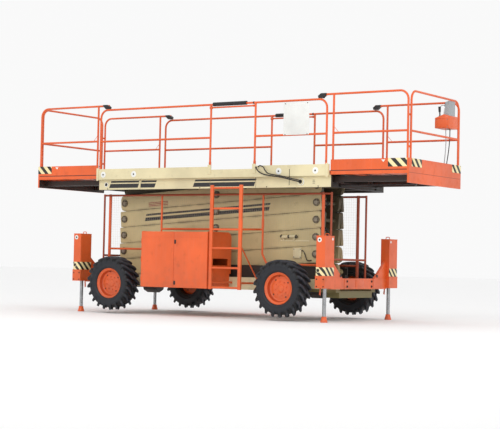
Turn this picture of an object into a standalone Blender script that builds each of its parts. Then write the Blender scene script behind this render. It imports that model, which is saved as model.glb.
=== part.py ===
"""Rough-terrain scissor lift with two extension decks, standing on its levelling jacks.

Metres, +Z up. +X is the front, the end with the control box and the steered wheels.
The origin is on the ground below the middle of the machine.
"""

import math

import bmesh
import bpy
from mathutils import Matrix, Vector

# ---------------------------------------------------------------- driving dimensions
SEAT = 0.0003                # gap left between two pieces that touch
RUNNING = 0.006              # clearance between pieces that move past each other

WHEEL_REAR_X = -1.625
WHEEL_FRONT_X = 1.51
WHEEL_RADIUS = 0.42
TYRE_WIDTH = 0.307
OVERALL_WIDTH = 2.412
WHEEL_LIFT = 0.05            # the jacks hold the tyres this far off the ground
RIM_RADIUS = 0.235
WHEEL_SIDES = 16

RAIL_IN, RAIL_OUT = 0.48, 0.60
RAIL_LOW, RAIL_TOP = 0.425, 0.613
AXLE_SIZE = 0.12
KINGPIN_Y = 0.83
KINGPIN, KINGPIN_BORE = 0.02, 0.0225

JACK_REAR_X, JACK_FRONT_X = -2.33, 2.18
JACK_Y = 0.98
HOUSING_X, HOUSING_Y = 0.146, 0.26
HOUSING_LOW, HOUSING_TOP = 0.49, 1.24
HOUSING_WALL = 0.01
BAND_TOP = 0.667             # top of the wider collar at the foot of a jack housing
BEAM_LOW, BEAM_TOP = 0.477, 0.635
BEAM_DEPTH = 0.06
JACK_ROD = 0.0275
JACK_FOOT = 0.0525

ARM_LENGTH = 3.64            # pin to pin
ARM_REST = math.radians(4.07)
ARM_DEPTH = 0.252
ARM_END = 0.08               # how far a beam runs past its end pin
ARM_CORNER = 0.018
ARM_CORNER_OUTER = 0.065      # on the arms that swing next to the chassis and the platform
ARM_BEAM = 0.07              # width of one beam
ARM_GAP = 0.01               # between an inner beam and an outer beam
INNER_ARM_IN = 0.19
ARM_PIN_X = -1.99            # the fixed, rear pins
ARM_PIN_Z = 0.727
STAGES = 5
SHAFT_RADIUS = 0.03
BORE_RADIUS = 0.033          # to the corners of the bore's eight flats
BOSS_RADIUS = 0.052
BOSS_OUT = 0.02
CROSS_TUBE_RADIUS = 0.04
ROLLER_RADIUS = 0.045
LIFT_LINK = 0.40             # lift cylinder pins, as a share of half an arm from its middle
BARREL_RADIUS = 0.075
BARREL_LENGTH = 1.18
LIFT_ROD_RADIUS = 0.04
LIFT_EAR = 0.055             # half the width of the cylinder's eyes
STUB_IN = 0.08               # inner end of the two stub pins that face the rod's eye

PLATFORM_HALF = 2.155        # half the length of the main platform
SIDE_BEAM_IN, SIDE_BEAM_OUT = 0.762, 0.812
SIDE_BEAM_LOW, SIDE_BEAM_TOP = 1.958, 2.118
CROSS_BEAM_TOP = 2.038
TOE_OUT, TOE_WALL = 0.885, 0.025
TOE_TOP, TOE_GATE_TOP = 2.286, 2.24
DECK_LOW, DECK_TOP = 2.150, 2.170
DECK_HALF_WIDTH = 0.82
LEDGE_OUT = 0.818

CABLE_BOSS = (1.65, 2.04)    # x and z of the round fitting on the near side beam
CABLE_BOSS_OUT = 0.835

RAIL_TUBE = 0.016
MAIN_RAIL_Y = 0.869
MAIN_RAIL_TOP, MAIN_RAIL_MID = 3.235, 2.73
MAIN_RAIL_END = 2.10
RAIL_BEND = 0.13
GATE_REAR_X, GATE_FRONT_X = 0.052, 0.863
GATE_Z = 3.19
GATE_SLEEVE = 0.026

EXT_END = 3.43
EXT_INNER = 1.90
EXT_SIDE = 0.850
EXT_WALL = 0.022
EXT_TOE_TOP, EXT_TOE_LOW = 2.353, 2.135
EXT_END_LOW = 2.004
EXT_FLOOR_TOP = 2.196
EXT_RAIL_TOP, EXT_RAIL_MID = 3.307, 2.74
EXT_RAIL_Y = 0.830
EXT_POST_IN, EXT_POST_OUT = 2.19, 3.395
EXT_RAIL_START = 1.97
EXT_HOOP_X, EXT_HOOP_Y = 3.414, 0.775
SLIDE_IN, SLIDE_OUT = 0.60, 0.68
SLIDE_LOW, SLIDE_TOP = 2.0388, 2.121
SLIDE_INNER = 1.25
RAM_Y, RAM_Z = 0.55, 1.998
RAM_RADIUS, RAM_ROD = 0.027, 0.012

CABINET_REAR, CABINET_FRONT = -0.975, 0.267
CABINET_LOW, CABINET_TOP = 0.434, 1.285
CABINET_OUT = 1.20
CABINET_WALL = 0.02
CABINET_UPPER_IN = 0.555
CABINET_STEP_Z = 0.66
DOOR_MEET_X = -0.354
DOOR_GAP = 0.003
LADDER_REAR, LADDER_FRONT = 0.315, 0.835
LADDER_Y, LADDER_TUBE, RUNG_TUBE = 1.17, 0.0275, 0.014
LADDER_LOW, LADDER_TOP = 0.43, 1.985
RUNG_HEIGHTS = (0.456, 0.749, 1.043, 1.321, 1.634, 1.94)
GUARD_Y, GUARD_TUBE, GUARD_TOP = 0.53, 0.016, 1.90
GUARD_POST = 0.024            # the thicker inner posts
GUARD_POSTS = (-2.26, -2.14, 1.87, 2.01)
MESH_THICKNESS = 0.006

# ---------------------------------------------------------------- derived values
WHEEL_Z = WHEEL_RADIUS + WHEEL_LIFT
WHEEL_Y = (OVERALL_WIDTH - TYRE_WIDTH) / 2
HUB_FACE = WHEEL_Y + 0.0328
HALF_ARM = ARM_LENGTH / 2
STAGE_RISE = ARM_LENGTH * math.sin(ARM_REST)
ARM_MID_X = ARM_PIN_X + HALF_ARM * math.cos(ARM_REST)
ARM_FRONT_X = ARM_PIN_X + ARM_LENGTH * math.cos(ARM_REST)
INNER_ARM_OUT = INNER_ARM_IN + ARM_BEAM
OUTER_ARM_IN = INNER_ARM_OUT + ARM_GAP
OUTER_ARM_OUT = OUTER_ARM_IN + ARM_BEAM
BRACKET_IN = OUTER_ARM_OUT + BOSS_OUT + RUNNING
BRACKET_OUT = BRACKET_IN + 0.06
ARM_TOP_Z = ARM_PIN_Z + STAGES * STAGE_RISE
TRACK_TOP = ARM_PIN_Z - ROLLER_RADIUS - 0.001

COLOURS = {
    "orange": ((0.84, 0.13, 0.03), 0.4, 0.0),
    "cream": ((0.78, 0.69, 0.45), 0.45, 0.0),
    "khaki": ((0.50, 0.45, 0.26), 0.5, 0.0),
    "tyre": ((0.02, 0.022, 0.028), 0.9, 0.0),
    "black": ((0.015, 0.015, 0.017), 0.55, 0.0),
    "chrome": ((0.7, 0.7, 0.7), 0.15, 1.0),
    "steel": ((0.2, 0.19, 0.17), 0.5, 0.8),
    "white": ((0.8, 0.8, 0.78), 0.5, 0.0),
}


# ---------------------------------------------------------------- helpers
def clear_scene():
    for obj in list(bpy.data.objects):
        bpy.data.objects.remove(obj, do_unlink=True)


def make_collection(name):
    collection = bpy.data.collections.new(name)
    bpy.context.scene.collection.children.link(collection)
    return collection


def material(colour):
    name = "lift_" + colour
    if name not in bpy.data.materials:
        base, roughness, metallic = COLOURS[colour]
        made = bpy.data.materials.new(name)
        made.use_nodes = True
        shader = made.node_tree.nodes["Principled BSDF"]
        shader.inputs["Base Color"].default_value = (*base, 1.0)
        shader.inputs["Roughness"].default_value = roughness
        shader.inputs["Metallic"].default_value = metallic
    return bpy.data.materials[name]


def as_helper(obj):
    """Puts a solid in the cutters' collection until a node takes it up."""
    CUTTERS.objects.link(obj)
    obj.hide_render = True
    obj.display_type = "WIRE"
    return obj


def solid_of(bm):
    mesh = bpy.data.meshes.new("solid")
    bm.to_mesh(mesh)
    bm.free()
    return as_helper(bpy.data.objects.new("solid", mesh))


def box(x, y, z):
    """A block between two values on each axis, in either order."""
    low = Vector([min(pair) for pair in (x, y, z)])
    high = Vector([max(pair) for pair in (x, y, z)])
    bm = bmesh.new()
    bmesh.ops.create_cube(bm, size=1.0)
    bmesh.ops.scale(bm, vec=high - low, verts=bm.verts)
    bmesh.ops.translate(bm, vec=(low + high) / 2, verts=bm.verts)
    return solid_of(bm)


def rod(start, end, radius, sides=8):
    """A round bar between two points."""
    start, end = Vector(start), Vector(end)
    bm = bmesh.new()
    bmesh.ops.create_cone(
        bm, cap_ends=True, segments=sides, radius1=radius, radius2=radius,
        depth=(end - start).length,
    )
    turn = (end - start).to_track_quat("Z", "Y").to_matrix().to_4x4()
    bmesh.ops.transform(bm, matrix=Matrix.Translation((start + end) / 2) @ turn, verts=bm.verts)
    return solid_of(bm)


def rounded(points, radius, steps=4):
    """The path with each inner corner turned into an arc."""
    points = [Vector(point) for point in points]
    path = [points[0]]
    for before, corner, after in zip(points, points[1:], points[2:]):
        come, leave = (corner - before).normalized(), (after - corner).normalized()
        angle = come.angle(leave)
        if radius == 0 or angle < 0.01:
            path.append(corner)
            continue
        setback = radius * math.tan(angle / 2)
        start = corner - come * setback
        centre = start + (leave - come * math.cos(angle)).normalized() * radius
        arm = start - centre
        for step in range(steps + 1):
            turned = angle * step / steps
            path.append(centre + arm * math.cos(turned) + come * radius * math.sin(turned))
    path.append(points[-1])
    return path


def mesh_from_curve(curve_obj):
    """The curve as a mesh helper with its caps welded."""
    bpy.context.view_layer.update()
    graph = bpy.context.evaluated_depsgraph_get()
    mesh = bpy.data.meshes.new_from_object(curve_obj.evaluated_get(graph))
    bm = bmesh.new()
    bm.from_mesh(mesh)
    bmesh.ops.remove_doubles(bm, verts=bm.verts, dist=0.00001)
    bmesh.ops.transform(bm, matrix=curve_obj.matrix_world, verts=bm.verts)
    bmesh.ops.recalc_face_normals(bm, faces=bm.faces)
    bm.to_mesh(mesh)
    bm.free()
    bpy.data.objects.remove(curve_obj)
    return as_helper(bpy.data.objects.new("solid", mesh))


def tube(points, radius, bend=0.0, steps=4, detail=2):
    curve = bpy.data.curves.new("tube", "CURVE")
    curve.dimensions = "3D"
    curve.bevel_depth = radius
    curve.bevel_resolution = detail
    curve.use_fill_caps = True
    path = rounded(points, bend, steps)
    spline = curve.splines.new("POLY")
    spline.points.add(len(path) - 1)
    for place, point in zip(spline.points, path):
        place.co = (*point, 1.0)
    return mesh_from_curve(as_helper(bpy.data.objects.new("tube", curve)))


def plate(outline, low, high, plane, holes=()):
    """A flat outline pushed out along the plane's normal, from low to high.

    plane XZ takes (x, z) points and runs along Y; plane YZ takes (y, z) and runs along X.
    """
    curve = bpy.data.curves.new("plate", "CURVE")
    curve.dimensions = "2D"
    curve.fill_mode = "BOTH"
    curve.extrude = abs(high - low) / 2
    for ring in (outline, *holes):
        spline = curve.splines.new("POLY")
        spline.points.add(len(ring) - 1)
        spline.use_cyclic_u = True
        for place, (across, up) in zip(spline.points, ring):
            place.co = (across, up, 0.0, 1.0)
    obj = as_helper(bpy.data.objects.new("plate", curve))
    middle = (low + high) / 2
    if plane == "XZ":
        obj.matrix_world = Matrix(((1, 0, 0, 0), (0, 0, -1, middle), (0, 1, 0, 0), (0, 0, 0, 1)))
    else:
        obj.matrix_world = Matrix(((0, 0, 1, middle), (1, 0, 0, 0), (0, 1, 0, 0), (0, 0, 0, 1)))
    return mesh_from_curve(obj)


def circle(across, up, radius, sides=8):
    turns = [math.radians(10) + math.tau * step / sides for step in range(sides)]
    return [(across + radius * math.cos(a), up + radius * math.sin(a)) for a in turns]


def finish(obj, name, colour, pivot=None):
    """Turns a helper into a named node, its origin moved to its joint."""
    CUTTERS.objects.unlink(obj)
    PARTS.objects.link(obj)
    obj.name = name
    obj.data.name = name
    obj.hide_render = False
    obj.display_type = "TEXTURED"
    obj.data.materials.clear()
    obj.data.materials.append(material(colour))
    if pivot is not None:
        obj.data.transform(Matrix.Translation(-Vector(pivot)))
        obj.location = pivot
    obj.data.shade_smooth()
    obj.data.set_sharp_from_angle(angle=math.radians(35))
    return obj


def fuse(solids, cuts=()):
    """The union of the solids, less the cuts, as one helper."""
    body = solids[0]
    for other, operation in [(s, "UNION") for s in solids[1:]] + [(c, "DIFFERENCE") for c in cuts]:
        step = body.modifiers.new(operation.lower(), "BOOLEAN")
        step.operation = operation
        step.object = other
    bpy.context.view_layer.update()
    graph = bpy.context.evaluated_depsgraph_get()
    mesh = bpy.data.meshes.new_from_object(body.evaluated_get(graph))
    body.modifiers.clear()
    body.data = mesh
    for other in (*solids[1:], *cuts):
        bpy.data.objects.remove(other)
    bm = bmesh.new()
    bm.from_mesh(mesh)
    bmesh.ops.remove_doubles(bm, verts=bm.verts, dist=0.00001)
    bm.to_mesh(mesh)
    bm.free()
    return body


def turned(profile, centre, outward, steps=WHEEL_SIDES, closed=False):
    """A profile of (radius, height) points turned about an axis that points outward."""
    mesh = bpy.data.meshes.new("turned")
    edges = [(i, i + 1) for i in range(len(profile) - 1)]
    if closed:
        edges.append((len(profile) - 1, 0))
    mesh.from_pydata([(radius, 0.0, height) for radius, height in profile], edges, [])
    obj = as_helper(bpy.data.objects.new("turned", mesh))
    screw = obj.modifiers.new("turn", "SCREW")
    screw.steps = screw.render_steps = steps
    screw.use_merge_vertices = True
    screw.merge_threshold = 0.0001
    bpy.context.view_layer.update()
    graph = bpy.context.evaluated_depsgraph_get()
    made = bpy.data.meshes.new_from_object(obj.evaluated_get(graph))
    obj.modifiers.clear()
    obj.data = made
    turn = Vector(outward).to_track_quat("Z", "X").to_matrix().to_4x4()
    made.transform(Matrix.Translation(centre) @ turn)
    return obj


# ---------------------------------------------------------------- wheels, axles, jacks
def make_wheel(name, x, side):
    half = TYRE_WIDTH / 2
    bead = half - 0.037
    centre, outward = (x, side * WHEEL_Y, WHEEL_Z), (0, side, 0)
    tyre = [
        (WHEEL_RADIUS, half - 0.045), (WHEEL_RADIUS, 0.045 - half), (0.395, -half),
        (0.30, -half), (RIM_RADIUS + SEAT, -bead), (RIM_RADIUS + SEAT, bead),
        (0.30, half), (0.395, half),
    ]
    finish(turned(tyre, centre, outward, closed=True), name + "_tyre", "tyre", centre)
    disc_back = HUB_FACE - WHEEL_Y + SEAT
    rim = [
        (0, 0.05), (0.17, 0.05), (RIM_RADIUS - 0.02, bead), (RIM_RADIUS, bead),
        (RIM_RADIUS, -bead), (RIM_RADIUS - 0.02, -bead), (RIM_RADIUS - 0.025, disc_back),
        (0, disc_back),
    ]
    finish(turned(rim, centre, outward), name + "_rim", "orange", centre)


def make_rear_axle():
    half = AXLE_SIZE / 2
    x, z = WHEEL_REAR_X, WHEEL_Z
    solids = [box((x - half, x + half), (-0.86, 0.86), (z - half, z + half)),
              rod((x - 0.12, 0, z), (x + 0.12, 0, z), 0.15)]
    for side in (-1, 1):
        solids.append(rod((x, side * 0.84, z), (x, side * (HUB_FACE - 0.015), z), 0.045))
        solids.append(rod((x, side * (HUB_FACE - 0.03), z), (x, side * HUB_FACE, z), 0.09, 12))
    finish(fuse(solids), "rear_axle", "black")


def make_front_axle():
    half = AXLE_SIZE / 2
    x, z = WHEEL_FRONT_X, WHEEL_Z
    yoke_in, yoke_wall = KINGPIN_Y - 0.11, KINGPIN_Y - 0.075
    solids = [box((x - half, x + half), (-yoke_wall, yoke_wall), (z - half, z + half)),
              rod((x - 0.12, 0, z), (x + 0.12, 0, z), 0.15)]
    bores = []
    for side in (-1, 1):
        wall = (side * yoke_in, side * yoke_wall)
        solids.append(box((x - 0.05, x + 0.05), wall, (z - 0.13, z + 0.13)))
        for up in (-1, 1):
            levels = (z + up * 0.10, z + up * 0.13)
            reach = (side * yoke_in, side * (KINGPIN_Y + 0.04))
            solids.append(box((x - 0.05, x + 0.05), reach, levels))
        low, high = (x, side * KINGPIN_Y, z - 0.2), (x, side * KINGPIN_Y, z + 0.2)
        bores.append(rod(low, high, KINGPIN_BORE))
    finish(fuse(solids, bores), "front_axle", "black")


def make_knuckle(name, side):
    x, z, pin = WHEEL_FRONT_X, WHEEL_Z, side * KINGPIN_Y
    solids = [
        box((x - 0.055, x + 0.055), (pin - side * 0.03, pin + side * 0.05), (z - 0.094, z + 0.094)),
        rod((x, pin, z - 0.128), (x, pin, z + 0.128), KINGPIN),
        rod((x, pin, z), (x, side * (HUB_FACE - 0.015), z), 0.045),
        rod((x, side * (HUB_FACE - 0.03), z), (x, side * HUB_FACE, z), 0.09, 12),
    ]
    finish(fuse(solids), name, "black", (x, pin, z))


def jack_housing(x, side):
    """The solids and the cuts of one jack's square housing."""
    y = side * JACK_Y
    half_x, half_y = HOUSING_X / 2, HOUSING_Y / 2
    solids = [
        box((x - half_x, x + half_x), (y - half_y, y + half_y), (HOUSING_LOW, HOUSING_TOP)),
        box((x - half_x - 0.008, x + half_x + 0.008), (y - half_y - 0.008, y + half_y + 0.008),
            (HOUSING_LOW, BAND_TOP)),
    ]
    in_x, in_y = half_x - HOUSING_WALL, half_y - HOUSING_WALL
    cuts = [
        box((x - in_x, x + in_x), (y - in_y, y + in_y), (HOUSING_LOW + 0.02, HOUSING_TOP - 0.01)),
        rod((x, y, HOUSING_LOW - 0.01), (x, y, HOUSING_LOW + 0.04), JACK_ROD + 0.0015, 12),
    ]
    return solids, cuts


def make_jack_beam(name, x):
    half = BEAM_DEPTH / 2
    reach = JACK_Y - HOUSING_Y / 2 + 0.005
    solids = [box((x - half, x + half), (-reach, reach), (BEAM_LOW, BEAM_TOP))]
    cuts = []
    top = JACK_Y - HOUSING_Y / 2 + 0.01
    rise = 0.285
    for side in (-1, 1):
        housing, hollow = jack_housing(x, side)
        outline = [(0.50, BEAM_TOP - 0.02), (top, BEAM_TOP - 0.02)] + gusset_curve(top, rise)
        outline = [(side * across, up) for across, up in outline]
        solids += housing + [plate(outline, x - half + 0.01, x + half - 0.01, "YZ")]
        cuts += hollow
    finish(fuse(solids, cuts), name, "orange")


def gusset_curve(top, rise):
    """The hollow curve of a gusset, from the housing down to the beam."""
    start = 0.50
    steps = 5
    points = []
    for step in range(steps + 1):
        turn = math.radians(90) * step / steps
        across = start + (top - start) * (1 - math.sin(turn))
        points.append((across, BEAM_TOP + 0.005 + rise * (1 - math.cos(math.radians(90) - turn))))
    return points


def make_jack_leg(name, x, side):
    y = side * JACK_Y
    profile = [(0, 0.86), (JACK_ROD, 0.86), (JACK_ROD, 0.085), (0.036, 0.075),
               (JACK_FOOT, 0.02), (JACK_FOOT, 0), (0, 0)]
    finish(turned(profile, (x, y, 0), (0, 0, 1), steps=12), name, "chrome", (x, y, 0))


# ---------------------------------------------------------------- chassis
def make_chassis():
    rear = JACK_REAR_X + BEAM_DEPTH / 2 + SEAT
    front = JACK_FRONT_X - BEAM_DEPTH / 2 - SEAT
    solids = [box((rear, front), (side * RAIL_IN, side * RAIL_OUT), (RAIL_LOW, RAIL_TOP))
              for side in (-1, 1)]
    for x, half in ((ARM_PIN_X, 0.07), (-1.15, 0.05), (0.25, 0.05), (1.0, 0.05), (1.80, 0.05)):
        solids.append(box((x - half, x + half), (-0.5, 0.5), (RAIL_LOW + 0.015, 0.595)))
    solids.append(box((1.88, front), (-0.5, 0.5), (0.345, 0.445)))
    cuts = []
    for side in (-1, 1):
        bracket = (side * BRACKET_IN, side * BRACKET_OUT)
        solids.append(box((ARM_PIN_X - 0.06, ARM_PIN_X + 0.06), bracket, (0.5, ARM_PIN_Z + 0.06)))
        track_out = side * (BRACKET_OUT + 0.03)
        web = (side * (BRACKET_OUT + 0.01), track_out)
        run = (0.14, ARM_FRONT_X + 0.11)
        solids.append(box(run, (side * BRACKET_IN, track_out), (0.58, TRACK_TOP)))
        solids.append(box(run, web, (0.60, 0.80)))
        solids.append(box(run, (side * BRACKET_IN, track_out), (0.778, 0.80)))
    cuts.append(rod((ARM_PIN_X, -0.5, ARM_PIN_Z), (ARM_PIN_X, 0.5, ARM_PIN_Z), BORE_RADIUS))
    half = AXLE_SIZE / 2 + SEAT
    for x in (WHEEL_REAR_X, WHEEL_FRONT_X):
        cuts.append(box((x - half, x + half), (-0.7, 0.7), (WHEEL_Z - half, WHEEL_Z + half)))
    finish(fuse(solids, cuts), "chassis_frame", "cream")


def cabinet_outline(inset, front):
    """The cross-section of a cabinet, moved in by a wall, out to the given front."""
    low, high = CABINET_LOW + inset, CABINET_TOP - inset
    lower_in, upper_in = RAIL_OUT + SEAT + inset, CABINET_UPPER_IN + inset
    radius = 0.08 - inset
    arc = [math.radians(180 - 30 * step) for step in range(4)]
    corner = [(upper_in + radius + radius * math.cos(a), high - radius + radius * math.sin(a))
              for a in arc]
    step_z = CABINET_STEP_Z + inset
    return [(front, low), (lower_in, low), (lower_in, step_z), (upper_in, step_z)] + corner + [
        (front, high)]


def make_cabinet(name, side):
    front = CABINET_OUT - CABINET_WALL - SEAT
    outer = [(side * y, z) for y, z in cabinet_outline(0.0, front)]
    inner = [(side * y, z) for y, z in cabinet_outline(CABINET_WALL, front + 0.05)]
    shell = plate(outer, CABINET_REAR, CABINET_FRONT, "YZ")
    hollow = plate(inner, CABINET_REAR + CABINET_WALL, CABINET_FRONT - CABINET_WALL, "YZ")
    window = box((CABINET_FRONT - 0.03, CABINET_FRONT + 0.01), (side * 0.64, side * 1.06),
                 (0.783, 0.886))
    finish(fuse([shell], [hollow, window]), name, "orange")


def make_door(name, side, hinge_x, meet_x):
    toward = 1 if meet_x > hinge_x else -1
    far_edge = meet_x - toward * DOOR_GAP / 2
    leaf = box((hinge_x, far_edge), (side * (CABINET_OUT - CABINET_WALL), side * CABINET_OUT),
               (CABINET_LOW, CABINET_TOP))
    finish(leaf, name, "orange", (hinge_x, side * CABINET_OUT, CABINET_LOW))


def make_engine():
    floor = CABINET_LOW + CABINET_WALL + SEAT
    block = box((-0.85, 0.12), (0.68, 1.10), (floor, 1.12))
    finish(block, "engine_block", "steel")


def make_ladder(name, side):
    y = side * LADDER_Y
    solids = []
    for x in (LADDER_REAR, LADDER_FRONT):
        solids.append(rod((x, y, LADDER_LOW), (x, y, LADDER_TOP), LADDER_TUBE))
        solids.append(rod((x, y, 0.53), (x, side * (RAIL_OUT + SEAT), 0.53), RUNG_TUBE, 8))
    for z in RUNG_HEIGHTS:
        solids.append(rod((LADDER_REAR, y, z), (LADDER_FRONT, y, z), RUNG_TUBE, 8))
    reach = side * (GUARD_Y + GUARD_TUBE + SEAT)
    for x in (LADDER_REAR + 0.08, LADDER_FRONT - 0.08):
        z = RUNG_HEIGHTS[3]
        solids.append(rod((x, y, z), (x, reach, z + 0.02), RUNG_TUBE, 8))
    low = (LADDER_FRONT - 0.02, side * (RAIL_OUT + RUNG_TUBE), 0.53)
    solids.append(rod((LADDER_FRONT - 0.01, y, 1.12), low, 0.010, 8))
    finish(fuse(solids), name, "orange")


def make_guard(name, side):
    y = side * GUARD_Y
    rear_out, rear_in, front_in, front_out = GUARD_POSTS
    base = RAIL_TOP + SEAT
    gap_low = 1.343
    lines = [[(x, base), (x, GUARD_TOP)] for x in GUARD_POSTS]
    lines += [
        [(rear_out, GUARD_TOP - 0.02), (front_out, GUARD_TOP - 0.02)],
        [(-1.095, 1.02), (-1.095, GUARD_TOP - 0.02)],
        [(rear_in, 1.02), (-1.095, 1.02)],
        [(-1.095, gap_low), (0.817, gap_low)],
        [(0.817, GUARD_TOP - 0.02), (0.817, 0.97), (0.90, 0.82), (front_in, 0.82)],
    ]
    solids = [tube([(x, y, z) for x, z in line],
                   GUARD_POST if line in (lines[1], lines[2]) else GUARD_TUBE) for line in lines]
    panels = (((rear_in, -1.095), 1.02), ((-1.095, 0.817), gap_low), ((0.83, front_in), 0.97))
    half = side * MESH_THICKNESS / 2
    for reach, low in panels:
        solids.append(box(reach, (y - half, y + half), (low, GUARD_TOP - 0.02)))
    if side < 0:
        far = GUARD_Y - GUARD_TUBE - SEAT
        for x, z in ((rear_out, 0.91), (front_out, 0.91)):
            solids.append(rod((x, y, z), (x, far, z), GUARD_TUBE, 8))
    finish(fuse(solids), name, "orange")


# ---------------------------------------------------------------- scissor stack
def arm_outline(stage):
    """A beam lying along X, its middle at the origin, with rounded corners."""
    half, deep = HALF_ARM + ARM_END, ARM_DEPTH / 2
    corner = ARM_CORNER_OUTER if stage in (1, STAGES) else ARM_CORNER
    points = []
    for cx, cz, start in ((1, 1, 0), (-1, 1, 90), (-1, -1, 180), (1, -1, 270)):
        for step in range(3):
            turn = math.radians(start + 45 * step)
            points.append((cx * (half - corner) + corner * math.cos(turn),
                           cz * (deep - corner) + corner * math.sin(turn)))
    return points


def place_arm(obj, stage, slope):
    """Turns an arm modelled about the origin to its slope and puts it in its stage."""
    turn = Matrix.Rotation(-slope * ARM_REST, 4, "Y")
    middle = Vector((ARM_MID_X, 0, ARM_PIN_Z + (stage - 0.5) * STAGE_RISE))
    obj.data.transform(Matrix.Translation(middle) @ turn)


def arm_pivot(stage, slope):
    """The pin that an arm turns on: its middle where it crosses its own stage's leader."""
    if slope > 0:
        level = stage - 1
        if stage % 2 == 0:
            return (ARM_MID_X, 0, ARM_PIN_Z + (stage - 0.5) * STAGE_RISE)
        return (ARM_PIN_X, 0, ARM_PIN_Z + level * STAGE_RISE)
    if stage % 2 == 0:
        return (ARM_FRONT_X, 0, ARM_PIN_Z + (stage - 1) * STAGE_RISE)
    return (ARM_MID_X, 0, ARM_PIN_Z + (stage - 0.5) * STAGE_RISE)


def shaft(x, reach, radius=SHAFT_RADIUS, z=0.0):
    return rod((x, -reach, z), (x, reach, z), radius)


def roller_pair(x):
    """Rollers that run in the tracks beside the arms."""
    low, high = BRACKET_IN + 0.004, BRACKET_OUT
    return [rod((x, side * low, 0), (x, side * high, 0), ROLLER_RADIUS, 10) for side in (-1, 1)]


def make_outer_arm(stage):
    solids = [plate(arm_outline(stage), side * OUTER_ARM_IN, side * OUTER_ARM_OUT, "XZ")
              for side in (-1, 1)]
    boss_reach = OUTER_ARM_OUT + BOSS_OUT
    for x in (-HALF_ARM, 0.0, HALF_ARM):
        solids.append(shaft(x, boss_reach - 0.002))
        for side in (-1, 1):
            start, end = (x, side * (OUTER_ARM_OUT - 0.01), 0), (x, side * boss_reach, 0)
            solids.append(rod(start, end, BOSS_RADIUS))
    if stage == 1:
        solids.append(shaft(-HALF_ARM, BRACKET_OUT + 0.005))
    if stage == STAGES:
        solids += [shaft(HALF_ARM, BRACKET_OUT - 0.002)] + roller_pair(HALF_ARM)
    arm = fuse(solids)
    place_arm(arm, stage, 1)
    finish(arm, f"outer_arm_{stage}", "khaki", arm_pivot(stage, 1))


def make_inner_arm(stage):
    holes = [0.0]
    if stage > 1:
        holes.append(HALF_ARM)
    if stage < STAGES:
        holes.append(-HALF_ARM)
    rings = [circle(x, 0.0, BORE_RADIUS) for x in holes]
    solids = [plate(arm_outline(stage), side * INNER_ARM_IN, side * INNER_ARM_OUT, "XZ", rings)
              for side in (-1, 1)]
    ties = [-0.86, 0.86]
    if stage == 1:
        ties.append(-LIFT_LINK)
        solids += [shaft(HALF_ARM, BRACKET_OUT - 0.002)] + roller_pair(HALF_ARM)
    if stage == 2:
        along = LIFT_LINK * HALF_ARM
        for side in (-1, 1):
            inner, outer = (along, side * STUB_IN, 0), (along, side * (INNER_ARM_IN + 0.02), 0)
            solids.append(rod(inner, outer, SHAFT_RADIUS))
    if stage == STAGES:
        solids.append(shaft(-HALF_ARM, BRACKET_OUT + 0.005))
    for share in ties:
        small = abs(share) == LIFT_LINK
        radius = SHAFT_RADIUS if small else CROSS_TUBE_RADIUS
        solids.append(shaft(share * HALF_ARM, INNER_ARM_IN + 0.02, radius))
    arm = fuse(solids)
    place_arm(arm, stage, -1)
    finish(arm, f"inner_arm_{stage}", "khaki", arm_pivot(stage, -1))


def lift_pin(stage, share):
    """A lift cylinder pin on an inner arm, which rises towards the rear."""
    along = share * HALF_ARM
    return Vector((ARM_MID_X + along * math.cos(ARM_REST), 0,
                   ARM_PIN_Z + (stage - 0.5) * STAGE_RISE - along * math.sin(ARM_REST)))


def make_lift_cylinder():
    foot, eye = lift_pin(1, -LIFT_LINK), lift_pin(2, LIFT_LINK)
    along = (eye - foot).normalized()
    ear = LIFT_EAR
    barrel = fuse(
        [rod(foot + along * 0.04, foot + along * BARREL_LENGTH, BARREL_RADIUS, 12),
         rod(foot - Vector((0, ear, 0)), foot + Vector((0, ear, 0)), 0.06, 12)],
        [rod(foot + along * 0.09, foot + along * (BARREL_LENGTH + 0.01),
             LIFT_ROD_RADIUS + 0.001, 12),
         rod(foot - Vector((0, 0.1, 0)), foot + Vector((0, 0.1, 0)), BORE_RADIUS)],
    )
    finish(barrel, "lift_cylinder_barrel", "black", foot)
    ram = fuse(
        [rod(foot + along * 0.10, eye - along * 0.03, LIFT_ROD_RADIUS, 12),
         rod(eye - Vector((0, ear, 0)), eye + Vector((0, ear, 0)), 0.06, 12)],
        [rod(eye - Vector((0, 0.1, 0)), eye + Vector((0, 0.1, 0)), BORE_RADIUS)],
    )
    finish(ram, "lift_cylinder_rod", "chrome", eye)


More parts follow.
